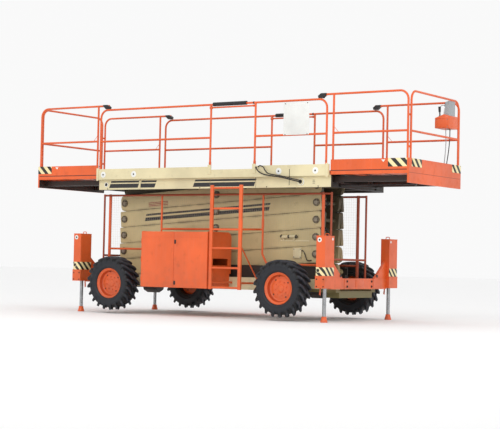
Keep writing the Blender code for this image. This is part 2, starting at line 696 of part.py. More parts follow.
# ---------------------------------------------------------------- platform
def make_platform_frame():
    half = PLATFORM_HALF
    solids, cuts = [], []
    for side in (-1, 1):
        solids.append(box((-half, half), (side * SIDE_BEAM_IN, side * SIDE_BEAM_OUT),
                          (SIDE_BEAM_LOW, SIDE_BEAM_TOP)))
        ledge = (side * (SIDE_BEAM_IN + 0.012), side * LEDGE_OUT)
        solids.append(box((0.002 - half, half - 0.002), ledge,
                          (SIDE_BEAM_TOP - 0.02, DECK_LOW - SEAT)))
        track = (side * BRACKET_IN, side * 0.48)
        run = (0.14, half - 0.03)
        solids.append(box(run, track, (ARM_TOP_Z + ROLLER_RADIUS + 0.001, DECK_LOW - 0.002)))
        web = (side * (BRACKET_OUT + 0.01), side * 0.50)
        solids.append(box((-half + 0.02, half - 0.02), web, (SIDE_BEAM_LOW + 0.02, DECK_LOW - SEAT)))
        bracket = (side * BRACKET_IN, side * (BRACKET_OUT + 0.02))
        solids.append(box((ARM_PIN_X - 0.06, ARM_PIN_X + 0.06), bracket,
                          (SIDE_BEAM_LOW + 0.01, DECK_LOW - 0.01)))
        for x in (-1.335, -0.45, 0.45, 1.335):
            solids.append(box((x - 0.03, x + 0.03), (side * 0.49, side * 0.78),
                              (SIDE_BEAM_LOW + 0.004, CROSS_BEAM_TOP)))
        window = (side * (RAM_Y - 0.03), side * (RAM_Y + 0.03))
        for toward in (-1, 1):
            cuts.append(box((toward * 0.60, toward * 2.3), window,
                            (RAM_Z - RAM_RADIUS - SEAT, RAM_Z + 0.03)))
    for end in (-1, 1):
        solids.append(box((end * (half - 0.038), end * (half - 0.001)), (-0.78, 0.78),
                          (SIDE_BEAM_LOW + 0.004, CROSS_BEAM_TOP)))
    x, z = CABLE_BOSS
    solids.append(rod((x, 0.01 - SIDE_BEAM_OUT, z), (x, -CABLE_BOSS_OUT, z), 0.045, 12))
    cuts.append(rod((ARM_PIN_X, -0.45, ARM_TOP_Z), (ARM_PIN_X, 0.45, ARM_TOP_Z), BORE_RADIUS))
    finish(fuse(solids, cuts), "platform_frame", "cream")


def make_platform_deck():
    half = PLATFORM_HALF
    solids = [box((-half, half), (-DECK_HALF_WIDTH, DECK_HALF_WIDTH), (DECK_LOW, DECK_TOP))]
    finish(solids[0], "platform_deck", "black")


def make_toe_board(name, side):
    half, wall = PLATFORM_HALF, (side * (TOE_OUT - TOE_WALL), side * TOE_OUT)
    low = SIDE_BEAM_TOP + SEAT
    solids = [
        box((-half, half), wall, (low, TOE_GATE_TOP)),
        box((-half, GATE_REAR_X + 0.02), wall, (TOE_GATE_TOP - 0.01, TOE_TOP)),
        box((GATE_FRONT_X - 0.02, half), wall, (TOE_GATE_TOP - 0.01, TOE_TOP)),
        box((-half, half), (side * (LEDGE_OUT + SEAT), side * TOE_OUT),
            (low, low + 0.01)),
    ]
    finish(fuse(solids), name, "cream")


def make_main_rail(name, side):
    y = side * MAIN_RAIL_Y
    end, foot = MAIN_RAIL_END, TOE_TOP + SEAT
    hoop = [(-end, foot), (-end, MAIN_RAIL_TOP), (end, MAIN_RAIL_TOP), (end, foot)]
    solids = [tube([(x, y, z) for x, z in hoop], RAIL_TUBE, RAIL_BEND)]
    for x in (GATE_REAR_X, GATE_FRONT_X):
        solids.append(rod((x, y, foot), (x, y, MAIN_RAIL_TOP), RAIL_TUBE, 8))
    for run in ((-end, GATE_REAR_X), (GATE_FRONT_X, end)):
        solids.append(rod((run[0], y, MAIN_RAIL_MID), (run[1], y, MAIN_RAIL_MID), RAIL_TUBE, 8))
    finish(fuse(solids), name, "orange")


def make_gate(name, side):
    y = side * MAIN_RAIL_Y
    reach = GATE_FRONT_X - RAIL_TUBE - RUNNING
    bar = rod((GATE_REAR_X + 0.01, y, GATE_Z), (reach, y, GATE_Z), 0.012, 8)
    low, high = (GATE_REAR_X, y, GATE_Z - 0.018), (GATE_REAR_X, y, GATE_Z + 0.018)
    sleeve = rod(low, high, GATE_SLEEVE, 12)
    bore = rod((GATE_REAR_X, y, GATE_Z - 0.05), (GATE_REAR_X, y, GATE_Z + 0.05),
               RAIL_TUBE + 0.0016, 12)
    finish(fuse([bar, sleeve], [bore]), name, "orange", (GATE_REAR_X, y, GATE_Z))


def make_sign():
    y = MAIN_RAIL_Y + RAIL_TUBE + SEAT
    board = box((1.37, 1.81), (-y, -y - 0.004), (MAIN_RAIL_MID - 0.004, MAIN_RAIL_TOP - 0.03))
    finish(board, "sign_board", "white")


def make_extension(name, end):
    """The deck, toe boards, end plate and slide beams at one end, +1 front or -1 rear."""
    solids = [
        box((end * EXT_INNER, end * EXT_END), (-EXT_SIDE + 0.01, EXT_SIDE - 0.01),
            (DECK_TOP + RUNNING, EXT_FLOOR_TOP)),
        box((end * (EXT_END - 0.028), end * EXT_END), (-EXT_SIDE, EXT_SIDE),
            (EXT_END_LOW, EXT_TOE_TOP)),
    ]
    for side in (-1, 1):
        wall = (side * (EXT_SIDE - EXT_WALL), side * EXT_SIDE)
        run = (end * (PLATFORM_HALF + 0.01), end * (EXT_END - 0.01))
        solids.append(box(run, wall, (EXT_TOE_LOW, EXT_TOE_TOP)))
        solids.append(box((end * SLIDE_INNER, end * (EXT_END - 0.01)),
                          (side * SLIDE_IN, side * SLIDE_OUT), (SLIDE_LOW, SLIDE_TOP)))
    finish(fuse(solids), name, "orange", (end * EXT_END, 0, EXT_FLOOR_TOP))


def make_extension_rails(name, end):
    foot = EXT_TOE_TOP + SEAT
    solids = []
    for side in (-1, 1):
        y = side * EXT_RAIL_Y
        hoop = [(EXT_RAIL_START, EXT_RAIL_TOP), (EXT_POST_OUT, EXT_RAIL_TOP),
                (EXT_POST_OUT, foot)]
        solids.append(tube([(end * x, y, z) for x, z in hoop], RAIL_TUBE, RAIL_BEND))
        x = end * EXT_POST_IN
        solids.append(rod((x, y, foot), (x, y, EXT_RAIL_TOP), RAIL_TUBE, 8))
        solids.append(rod((x, y, EXT_RAIL_MID), (end * EXT_POST_OUT, y, EXT_RAIL_MID),
                          RAIL_TUBE, 8))
        for z in (2.50, 2.95):
            lug_x = (end * (EXT_POST_OUT + 0.002), end * (EXT_POST_OUT + 0.014))
            solids.append(box(lug_x, (side * EXT_HOOP_Y, y), (z, z + 0.03)))
    x, y = end * EXT_HOOP_X, EXT_HOOP_Y
    hoop = [(-y, foot), (-y, EXT_RAIL_TOP), (y, EXT_RAIL_TOP), (y, foot)]
    solids.append(tube([(x, across, z) for across, z in hoop], RAIL_TUBE, RAIL_BEND))
    solids.append(rod((x, -y, EXT_RAIL_MID), (x, y, EXT_RAIL_MID), RAIL_TUBE, 8))
    finish(fuse(solids), name, "orange", (end * EXT_END, 0, foot))


def make_deck_ram():
    """The cylinder that pushes the front deck out: barrel on the platform, rod on the deck."""
    end, y = 1, -RAM_Y
    barrel = fuse([rod((end * 0.72, y, RAM_Z), (end * 2.12, y, RAM_Z), RAM_RADIUS, 12)],
                  [rod((end * 0.75, y, RAM_Z), (end * 2.13, y, RAM_Z), RAM_ROD + 0.001, 12)])
    finish(barrel, "front_deck_barrel", "black")
    plate_face = EXT_END - 0.028 - SEAT
    lug = box((end * (plate_face - 0.02), end * plate_face), (y - 0.02, y + 0.02),
              (RAM_Z - 0.02, RAM_Z + 0.03))
    bar = rod((end * 2.02, y, RAM_Z), (end * (plate_face - 0.01), y, RAM_Z), RAM_ROD, 12)
    finish(fuse([bar, lug]), "front_deck_rod", "chrome", (end * plate_face, y, RAM_Z))


def make_control_box():
    top = EXT_RAIL_TOP - RAIL_TUBE - SEAT
    case = [(3.20, 2.885), (3.425, 2.885), (3.425, 3.07), (3.345, 3.09), (3.20, 3.04)]
    panel = [(3.335, 2.99), (3.421, 2.99), (3.421, top - 0.01), (3.414, top), (3.355, top - 0.02)]
    solids = [plate(case, 0.41, 0.74, "XZ"), plate(panel, 0.432, 0.64, "XZ")]
    finish(fuse(solids), "control_box", "orange")


# ---------------------------------------------------------------- cords
SIDE_CABLE_ROUTE = (
    (0.905, -TOE_OUT - SEAT, 2.262), (0.905, -0.900, 2.262), (0.925, -0.912, 2.238),
    (0.975, -0.914, 2.19), (1.05, -0.914, 2.155), (1.14, -0.914, 2.135),
    (1.24, -0.914, 2.122), (1.34, -0.914, 2.108), (1.43, -0.912, 2.09),
    (1.52, -0.905, 2.068), (1.595, -0.892, 2.05), (1.64, -0.862, 2.04),
    (1.64, -CABLE_BOSS_OUT - SEAT, 2.04),
)
CONTROL_CABLE_ROUTE = (
    (3.36, 0.60, 2.885 - SEAT), (3.36, 0.60, 2.84), (3.358, 0.602, 2.77), (3.35, 0.61, 2.68),
    (3.335, 0.622, 2.58), (3.315, 0.636, 2.48), (3.295, 0.648, 2.39), (3.28, 0.656, 2.30),
    (3.275, 0.66, 2.24), (3.275, 0.66, EXT_FLOOR_TOP + SEAT),
)


def smooth_route(points, count):
    """Points on a smooth curve through the route's own points (Catmull-Rom)."""
    points = [Vector(p) for p in points]
    ends = [points[0] * 2 - points[1]] + points + [points[-1] * 2 - points[-2]]
    path = []
    spans = len(points) - 1
    for step in range(count + 1):
        place = min(step / count * spans, spans - 1e-9)
        index, t = int(place), place - int(place)
        a, b, c, d = ends[index:index + 4]
        path.append(0.5 * (2 * b + (c - a) * t + (2 * a - 5 * b + 4 * c - d) * t * t
                           + (3 * b - 3 * c + d - a) * t ** 3))
    return path


def make_cord(name, route, radius, count):
    """A cord whose two ends leave their pieces straight."""
    path = [route[0], *smooth_route(route[1:-1], count), route[-1]]
    finish(tube(path, radius), name, "black")


# ---------------------------------------------------------------- the machine
def main():
    for end, x in (("rear", WHEEL_REAR_X), ("front", WHEEL_FRONT_X)):
        for word, side in (("near", -1), ("far", 1)):
            make_wheel(f"{end}_{word}", x, side)
    make_rear_axle()
    make_front_axle()
    make_chassis()
    for end, x in (("rear", JACK_REAR_X), ("front", JACK_FRONT_X)):
        make_jack_beam(f"{end}_jack_beam", x)
        for word, side in (("near", -1), ("far", 1)):
            make_jack_leg(f"{end}_{word}_jack_leg", x, side)
    for word, side in (("near", -1), ("far", 1)):
        make_knuckle(f"{word}_steering_knuckle", side)
        make_cabinet(f"{word}_cabinet", side)
        make_door(f"{word}_rear_door", side, CABINET_REAR, DOOR_MEET_X)
        make_door(f"{word}_front_door", side, CABINET_FRONT, DOOR_MEET_X)
        make_ladder(f"{word}_ladder", side)
        make_guard(f"{word}_guard", side)
        make_toe_board(f"{word}_toe_board", side)
        make_main_rail(f"{word}_main_rail", side)
        make_gate(f"{word}_gate", side)
    make_engine()
    for stage in range(1, STAGES + 1):
        make_outer_arm(stage)
        make_inner_arm(stage)
    make_lift_cylinder()
    make_platform_frame()
    make_platform_deck()
    make_sign()
    for word, end in (("front", 1), ("rear", -1)):
        make_extension(f"{word}_deck", end)
        make_extension_rails(f"{word}_deck_rails", end)
    make_deck_ram()
    make_control_box()
    make_cord("side_cable", SIDE_CABLE_ROUTE, 0.009, 22)
    make_cord("control_cable", CONTROL_CABLE_ROUTE, 0.007, 18)


clear_scene()
PARTS = make_collection("scissor_lift")
CUTTERS = make_collection("cutters")
main()
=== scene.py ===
"""Looks of a rough-terrain scissor lift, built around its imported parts.

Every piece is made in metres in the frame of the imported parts: +X is the front, +Y the far side.
"""

import math

import bmesh
import bpy
from bpy.props import FloatProperty, FloatVectorProperty, IntProperty, PointerProperty
from mathutils import Matrix, Vector


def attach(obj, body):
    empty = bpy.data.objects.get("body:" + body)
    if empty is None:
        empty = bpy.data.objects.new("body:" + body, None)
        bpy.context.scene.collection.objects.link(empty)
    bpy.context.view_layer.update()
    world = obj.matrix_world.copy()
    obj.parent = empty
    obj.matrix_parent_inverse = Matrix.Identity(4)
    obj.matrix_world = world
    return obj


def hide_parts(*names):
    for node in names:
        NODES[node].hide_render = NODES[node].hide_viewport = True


bl_info = {
    "name": "Scissor lift looks",
    "version": (1, 0, 0),
    "blender": (4, 5, 0),
    "location": "View3D > Sidebar > Lift",
    "description": "Builds the detail and the finishes of a rough-terrain scissor lift",
    "category": "Object",
}

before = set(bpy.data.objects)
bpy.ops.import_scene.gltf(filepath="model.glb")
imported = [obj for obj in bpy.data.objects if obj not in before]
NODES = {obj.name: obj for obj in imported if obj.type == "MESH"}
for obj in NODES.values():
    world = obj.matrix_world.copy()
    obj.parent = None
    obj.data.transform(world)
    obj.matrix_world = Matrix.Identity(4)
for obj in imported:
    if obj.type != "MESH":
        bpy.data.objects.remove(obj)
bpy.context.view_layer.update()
SIDES = (("near", -1), ("far", 1))
ENDS = (("front", 1), ("rear", -1))

# ---------------------------------------------------------------- places taken from the part
WHEEL_X = {"front": 1.51, "rear": -1.625}
WHEEL_Y, WHEEL_Z, WHEEL_RADIUS, TYRE_HALF = 1.0525, 0.47, 0.42, 0.1535
JACK_X = {"front": 2.18, "rear": -2.33}
JACK_Y = 0.98
ARM_LENGTH, ARM_REST, STAGES = 3.64, math.radians(4.07), 5
ARM_PIN_X, ARM_PIN_Z = -1.99, 0.727
STAGE_RISE = ARM_LENGTH * math.sin(ARM_REST)
ARM_MID_X = ARM_PIN_X + ARM_LENGTH / 2 * math.cos(ARM_REST)
ARM_FACE = 0.34
TOE_FACE, BEAM_FACE = 0.885, 0.812
RAIL_Y, RAIL_TOP, RAIL_MID, RAIL_END = 0.869, 3.235, 2.73, 2.10
GATE_REAR, GATE_FRONT, GATE_Z = 0.052, 0.863, 3.19
EXT_END, EXT_SIDE = 3.43, 0.850
EXT_RAIL_Y, EXT_RAIL_TOP, EXT_RAIL_MID = 0.830, 3.307, 2.74
EXT_POST_IN, EXT_POST_OUT, EXT_RAIL_START = 2.19, 3.395, 1.97
EXT_HOOP, EXT_HOOP_Y = 3.414, 0.775
GUARD_Y, GUARD_TOP = 0.53, 1.90
RUNG_HEIGHTS = (0.456, 0.749, 1.043, 1.321, 1.634, 1.94)
FITTING_X, FITTING_Z = 1.65, 2.04

# ---------------------------------------------------------------- stage values
CAMERA_PLACE = (12.5915, -18.837, 0.82)
CAMERA_YAW, CAMERA_PITCH, CAMERA_ROLL = 0.5807, 0.03425, 0.02159
SENSOR_WIDTH, CLIP_END = 36.0, 200.0
FLOOR_REACH, WORLD_STRENGTH = 90.0, 0.95


# ---------------------------------------------------------------- settings
def colour_prop(name, description, default):
    return FloatVectorProperty(name=name, description=description, default=default,
                               subtype="COLOR", size=3, min=0.0, max=1.0)


def length_prop(name, description, default):
    return FloatProperty(name=name, description=description, default=default, unit="LENGTH",
                         subtype="DISTANCE", min=0.0)


class LIFT_PaintSettings(bpy.types.PropertyGroup):
    orange: colour_prop("Orange", "Enamel of the rails, jacks, cabinets and rims",
                        (0.78, 0.118, 0.020))
    cream: colour_prop("Cream", "Enamel of the chassis and the platform", (0.74, 0.655, 0.405))
    arm: colour_prop("Arms", "Enamel of the scissor arms", (0.60, 0.49, 0.255))
    # The black also serves as painted shade on undersides: the platform's end ledges and deck
    # joists, and the ribs under the decks.
    black: colour_prop("Black", "Paint of the axles, cylinders and undersides",
                       (0.016, 0.014, 0.014))
    rubber: colour_prop("Rubber", "Tyre rubber", (0.0055, 0.007, 0.0115))
    white: colour_prop("White", "Sign board and stickers", (0.82, 0.83, 0.80))
    pale: colour_prop("Warning pale", "Light stripes of the warning bands", (0.90, 0.78, 0.42))
    wear: FloatProperty(name="Wear", description="How far dust and scuffs cover the paint",
                        default=0.5, min=0.0, max=1.0, subtype="FACTOR")


class LIFT_TubeSettings(bpy.types.PropertyGroup):
    radius: length_prop("Rail radius", "Radius of the guard rail tube", 0.016)
    bend: length_prop("Bend radius", "Radius of a bend in a rail", 0.13)
    sides: IntProperty(name="Sides", description="Sides of a tube", default=14, min=6, max=48)
    wire: length_prop("Mesh wire", "Width of the guard's mesh wire", 0.0012)
    pitch: length_prop("Mesh pitch", "Distance between the guard's mesh wires", 0.040)


class LIFT_WheelSettings(bpy.types.PropertyGroup):
    lugs: IntProperty(name="Lugs", description="Tread lugs on each side of a tyre", default=20,
                      min=8, max=40)
    lug_width: length_prop("Lug width", "Width of a tread lug", 0.040)
    nuts: IntProperty(name="Nuts", description="Wheel nuts on a rim", default=8, min=4, max=12)


class LIFT_StageSettings(bpy.types.PropertyGroup):
    lens: FloatProperty(name="Lens", description="Focal length in millimetres", default=103.5,
                        min=20.0, max=300.0)
    floor: colour_prop("Floor", "Colour of the floor", (0.965, 0.965, 0.965))
    key: FloatProperty(name="Key light", description="Power of the large key light in watts",
                       default=380.0, min=0.0)
    fill: FloatProperty(name="Fill light", description="Power of the fill light in watts",
                        default=120.0, min=0.0)


def settings():
    return bpy.context.scene.lift_looks


# ---------------------------------------------------------------- shader maths
class Value:
    """A shader socket whose arithmetic adds Math nodes."""

    def __init__(self, finish, socket):
        self.finish, self.socket = finish, socket

    def math(self, operation, *others):
        node = self.finish.node("ShaderNodeMath", {"operation": operation},
                                dict(enumerate((self, *others))))
        return Value(self.finish, node.outputs[0])

    def __add__(self, other):
        return self.math("ADD", other)

    __radd__ = __add__

    def __mul__(self, other):
        return self.math("MULTIPLY", other)

    __rmul__ = __mul__

    def __sub__(self, other):
        return self.math("SUBTRACT", other)

    def __rsub__(self, other):
        return (self * -1.0) + other

    def __truediv__(self, other):
        return self.math("DIVIDE", other)

    def __abs__(self):
        return self.math("ABSOLUTE")

    def over(self, edge):
        return self.math("GREATER_THAN", edge)

    def under(self, edge):
        return self.math("LESS_THAN", edge)

    def between(self, low, high):
        return self.over(low) * self.under(high)

    def fraction(self):
        return self.math("FRACT")

    def either(self, other):
        return self.math("MAXIMUM", other)

    def ramp(self, low, high):
        """0 below low, 1 above high, straight between."""
        node = self.finish.node("ShaderNodeMapRange", {"clamp": True},
                                {0: self, 1: low, 2: high, 3: 0.0, 4: 1.0})
        return Value(self.finish, node.outputs[0])


class Finish:
    """A material under construction: its nodes, its place coordinates and its Principled shader."""

    def __init__(self, name):
        self.material = bpy.data.materials.new(name)
        self.material.use_nodes = True
        self.tree = self.material.node_tree
        self.shader = self.tree.nodes["Principled BSDF"]
        place = self.tree.nodes.new("ShaderNodeTexCoord").outputs["Object"]
        self.place = place
        parts = self.node("ShaderNodeSeparateXYZ", {}, {0: place})
        self.x, self.y, self.z = (Value(self, out) for out in parts.outputs)

    def node(self, kind, choices, inputs):
        made = self.tree.nodes.new(kind)
        for key, value in choices.items():
            setattr(made, key, value)
        for key, value in inputs.items():
            self.feed(made.inputs[key], value)
        return made

    def feed(self, socket, value):
        if isinstance(value, Value):
            value = value.socket
        if isinstance(value, bpy.types.NodeSocket):
            self.tree.links.new(value, socket)
        else:
            socket.default_value = value

    def noise(self, scale, detail=3.0, stretch=(1.0, 1.0, 1.0)):
        place = self.place
        if stretch != (1.0, 1.0, 1.0):
            place = self.node("ShaderNodeMapping", {}, {0: place, 3: stretch}).outputs[0]
        node = self.node("ShaderNodeTexNoise", {}, {"Vector": place, "Scale": scale,
                                                    "Detail": detail})
        return Value(self, node.outputs[0])

    def mix(self, mask, first, second):
        node = self.node("ShaderNodeMix", {"data_type": "RGBA"}, {0: mask, 6: first, 7: second})
        return node.outputs[2]

    def blend(self, mask, first, second):
        """A plain number or Value between first and second."""
        return mask * (second - first) + first

    def set(self, name, value):
        self.feed(self.shader.inputs[name], value)

    def bump(self, height, strength, distance):
        node = self.node("ShaderNodeBump", {}, {"Strength": strength, "Distance": distance,
                                                "Height": height})
        self.set("Normal", node.outputs[0])


def rgba(colour):
    return (*colour, 1.0)


def shade(colour, amount):
    return tuple(min(1.0, part * amount) for part in colour)


def enamel(name, colour, marks=(), rough=0.36, dust=1.0):
    """Brushed and sprayed enamel: uneven tone, dust low down, streaks, scuffs and orange peel.

    marks are (mask, colour, roughness): mask takes the finish and gives a Value of 0 or 1.
    """
    finish = Finish(name)
    wear = settings().paint.wear * dust
    tone = finish.noise(1.7, 4.0)
    cloud = finish.noise(9.0, 5.0)
    streak = finish.noise(5.0, 4.0, (6.0, 6.0, 0.5))
    speck = finish.noise(75.0, 2.0)
    base = finish.mix(tone.ramp(0.35, 0.65), rgba(shade(colour, 0.88)), rgba(shade(colour, 1.07)))
    faded = tuple(part * 0.80 + 0.10 for part in colour)
    base = finish.mix(streak.ramp(0.52, 0.78) * (0.34 * wear), base, rgba(faded))
    grime = shade(colour, 0.34)
    base = finish.mix(cloud.ramp(0.60, 0.74) * (0.42 * wear), base, rgba(grime))
    low = (1.0 - finish.z.ramp(0.15, 0.95)) * cloud.ramp(0.36, 0.66)
    base = finish.mix(low * (0.55 * wear), base, rgba((0.17, 0.13, 0.09)))
    roughness = finish.blend(cloud.ramp(0.35, 0.7), rough - 0.06, rough + 0.14)
    for mask, mark, mark_rough in marks:
        cover = mask(finish)
        base = finish.mix(cover, base, rgba(mark))
        roughness = finish.blend(cover, roughness, mark_rough)
    finish.set("Base Color", base)
    finish.set("Roughness", roughness)
    finish.shader.inputs["Coat Weight"].default_value = 0.12
    finish.shader.inputs["Coat Roughness"].default_value = 0.25
    finish.bump(speck * 0.5 + cloud, 0.16, 0.0015)
    return finish.material


def arm_place(finish, stage):
    """Along and up in the frame of an outer arm, from its middle."""
    x = finish.x - ARM_MID_X
    z = finish.z - (ARM_PIN_Z + (stage - 0.5) * STAGE_RISE)
    cos, sin = math.cos(ARM_REST), math.sin(ARM_REST)
    return x * cos + z * sin, z * cos - x * sin


def outer_faces(finish, reach):
    return abs(finish.y).over(reach)


def arm_enamel(name, stage=0):
    paint = settings().paint
    marks = []
    if stage == 4:
        def bands(finish):
            along, up = arm_place(finish, stage)
            lean = up * 0.35
            run = (along - lean).between(-1.39, 0.99)
            rows = up.between(0.022, 0.054).either(up.between(-0.060, -0.004))
            return run * rows * outer_faces(finish, ARM_FACE - 0.002)
        marks.append((bands, (0.012, 0.012, 0.014), 0.45))
    if stage == 5:
        def label(finish):
            along, up = arm_place(finish, stage)
            lines = (up * 42.0).fraction().over(0.45)
            return (along.between(-1.34, -0.95) * up.between(-0.10, -0.015) * lines
                    * outer_faces(finish, ARM_FACE - 0.002))
        marks.append((label, (0.30, 0.045, 0.03), 0.5))

    # Painted shade: every face of the arms inside the outer faces is painted dark brown, darker
    # higher up the stack.
    def inside(finish):
        high = finish.z.ramp(0.9, 1.5)
        return abs(finish.y).under(ARM_FACE - 0.003) * (high * 0.6 + 0.3)
    marks.append((inside, (0.035, 0.028, 0.016), 0.7))

    def edge_grime(finish):
        _, up = arm_place(finish, max(stage, 1))
        return abs(up).ramp(0.094, 0.12) * finish.noise(7.0).ramp(0.3, 0.7) * 0.55
    if stage:
        marks.insert(0, (edge_grime, (0.10, 0.085, 0.05), 0.7))
    return enamel(name, paint.arm, marks, 0.46, 1.2)


def beam_bands(finish):
    """The black double band along the platform's side beams, in three runs."""
    thin = finish.z.between(2.068, 2.098)
    thick = finish.z.between(1.985, 2.050)
    lean = finish.x - (finish.z - 2.04) * 0.4
    run = lean.between(-1.93, -1.352).either(lean.between(-1.318, -1.02)).either(
        lean.between(-0.28, 0.845))
    return (thin.either(thick)) * run * outer_faces(finish, BEAM_FACE - 0.001)


def seam_lines(finish):
    seams = None
    for x in (-1.335, 0.02, 0.855):
        line = abs(finish.x - x).under(0.0035)
        seams = line if seams is None else seams.either(line)
    return seams * outer_faces(finish, BEAM_FACE - 0.001)


def platform_shadow_parts(finish):
    """Everything of the platform frame but the outer faces of its two side beams."""
    return abs(finish.y).under(BEAM_FACE - 0.002)


def plain_metal(name, colour, rough, metallic, grain=40.0):
    finish = Finish(name)
    cloud, fine = finish.noise(14.0, 4.0), finish.noise(grain, 3.0)
    finish.set("Base Color", finish.mix(cloud.ramp(0.35, 0.7), rgba(colour),
                                        rgba(shade(colour, 0.72))))
    finish.set("Roughness", finish.blend(fine.ramp(0.3, 0.7), rough * 0.8, rough * 1.3))
    finish.shader.inputs["Metallic"].default_value = metallic
    finish.bump(fine, 0.12, 0.001)
    return finish.material


def wheel_reach(finish):
    """Distance from the axis of the nearer wheels."""
    front = finish.x.over(0.0)
    x = finish.x - finish.blend(front, WHEEL_X["rear"], WHEEL_X["front"])
    z = finish.z - WHEEL_Z
    return (x * x + z * z).math("SQRT")


def tyre_rubber():
    paint = settings().paint
    finish = Finish("tyre_rubber")
    cloud, fine = finish.noise(7.0, 5.0), finish.noise(160.0, 2.0)
    reach = wheel_reach(finish)
    # Painted light: the band between the lugs is painted darker as painted shade, and the lug tops
    # lighter and bluer as a painted highlight.
    base = finish.mix(reach.ramp(0.386, 0.412), rgba(shade(paint.rubber, 0.5)),
                      rgba((0.030, 0.034, 0.046)))
    base = finish.mix(reach.under(0.352), base, rgba(shade(paint.rubber, 1.3)))
    base = finish.mix(cloud.ramp(0.50, 0.78) * 0.25, base, rgba((0.040, 0.040, 0.044)))
    finish.set("Base Color", base)
    finish.set("Roughness", finish.blend(cloud.ramp(0.3, 0.7), 0.40, 0.66))
    finish.bump(fine + cloud * 0.6, 0.25, 0.002)
    return finish.material


def cord_rubber(name, colour):
    finish = Finish(name)
    fine = finish.noise(220.0, 2.0)
    finish.set("Base Color", finish.mix(fine.ramp(0.3, 0.7), rgba(colour),
                                        rgba(shade(colour, 1.5))))
    finish.set("Roughness", finish.blend(fine, 0.38, 0.55))
    finish.bump(fine, 0.1, 0.0006)
    return finish.material


def warning_band(name, pitch):
    """Black and pale stripes that run down towards the right on both outer faces."""
    paint = settings().paint
    finish = Finish(name)
    turn = (finish.x + finish.y + finish.z) / pitch
    dark = turn.fraction().over(0.5)
    cloud = finish.noise(16.0, 4.0)
    base = finish.mix(dark, rgba(paint.pale), rgba((0.014, 0.014, 0.014)))
    base = finish.mix(cloud.ramp(0.58, 0.78) * 0.35, base, rgba((0.22, 0.17, 0.10)))
    finish.set("Base Color", base)
    finish.set("Roughness", finish.blend(cloud.ramp(0.3, 0.7), 0.35, 0.55))
    finish.bump(cloud, 0.08, 0.001)
    return finish.material


def deck_plate(name, colour):
    """Steel deck with a raised diamond tread."""
    finish = Finish(name)
    first = abs(((finish.x + finish.y) / 0.045).fraction() - 0.5)
    second = abs(((finish.x - finish.y) / 0.045).fraction() - 0.5)
    ridge = (first.under(0.10) * second.over(0.22)).either(second.under(0.10) * first.over(0.22))
    cloud = finish.noise(6.0, 5.0)
    base = finish.mix(cloud.ramp(0.4, 0.7), rgba(colour), rgba(shade(colour, 2.0)))
    finish.set("Base Color", finish.mix(ridge * 0.3, base, rgba((0.16, 0.15, 0.14))))
    finish.set("Roughness", finish.blend(cloud.ramp(0.3, 0.7), 0.5, 0.75))
    finish.bump(ridge + cloud * 0.3, 0.4, 0.002)
    return finish.material


def ext_enamel():
    """Orange decks: a dark line along each side painted as the shade in a gap, a fold line on each
    end darkened as painted shade, a tread floor and an underside painted near-black as painted
    shade.
    """
    paint = settings().paint

    # Painted shadow: a dark line along the outer faces, standing for the shade in the gap between
    # the tiers.
    def gap(finish):
        return finish.z.between(2.186, 2.199) * outer_faces(finish, EXT_SIDE - 0.002) * (
            abs(finish.x).under(EXT_END - 0.03))

    # Painted shade: a darker orange line along the fold across each end face.
    def fold(finish):
        return abs(finish.z - 2.150).under(0.004) * abs(finish.x).over(EXT_END - 0.001) * 0.8

    # Painted shade: the underside inside the end plates, painted near-black.
    def under(finish):
        inside = abs(finish.x).under(EXT_END - 0.027)
        return finish.z.under(2.134) * inside

    def floor(finish):
        return finish.z.over(2.1955) * finish.z.under(2.1975) * abs(finish.y).under(0.827) * (
            abs(finish.x).under(EXT_END - 0.029)) * 0.8
    return enamel("extension_orange", paint.orange, [
        (gap, (0.10, 0.018, 0.008), 0.6), (fold, (0.33, 0.05, 0.012), 0.5),
        (under, (0.030, 0.017, 0.013), 0.6), (floor, (0.10, 0.045, 0.03), 0.6)])


def shaded_rim_back(finish):
    """The side of a rim that faces the machine, painted near-black as painted shade."""
    return abs(finish.y).under(WHEEL_Y - 0.01)


def rim_barrel(finish):
    """The shaded wall between the dish and the lip of a rim."""
    return wheel_reach(finish).between(0.183, 0.2005) * 0.85


def guard_shade(finish):
    """Painted shade on the top members and the outermost posts of the guards, and on the whole far
    guard.
    """
    return finish.z.over(1.86).either(finish.x.under(-2.20)).either(finish.x.over(1.95)).either(
        finish.y.over(0.40)) * 0.8


def chassis_enamel():
    paint = settings().paint

    # Painted shade: the tracks and everything between the rails above 0.5 m, painted near-black
    # where the stack shades them.
    def tracks(finish):
        return abs(finish.y).under(0.4795) * finish.z.over(0.50)

    # Painted shade: the belly between the rails below 0.5 m, painted dark.
    def belly(finish):
        return abs(finish.y).under(0.479) * finish.z.under(0.50) * finish.x.under(1.85)

    # Painted shade: the front underside, painted a darker olive cream.
    def front_underside_shade(finish):
        return finish.z.under(0.47) * finish.x.over(0.9)
    return enamel("chassis_cream", shade(paint.cream, 0.86), [
        (tracks, (0.022, 0.018, 0.015), 0.6), (belly, (0.05, 0.04, 0.03), 0.7),
        (front_underside_shade, (0.17, 0.145, 0.055), 0.6)], 0.45, 1.3)


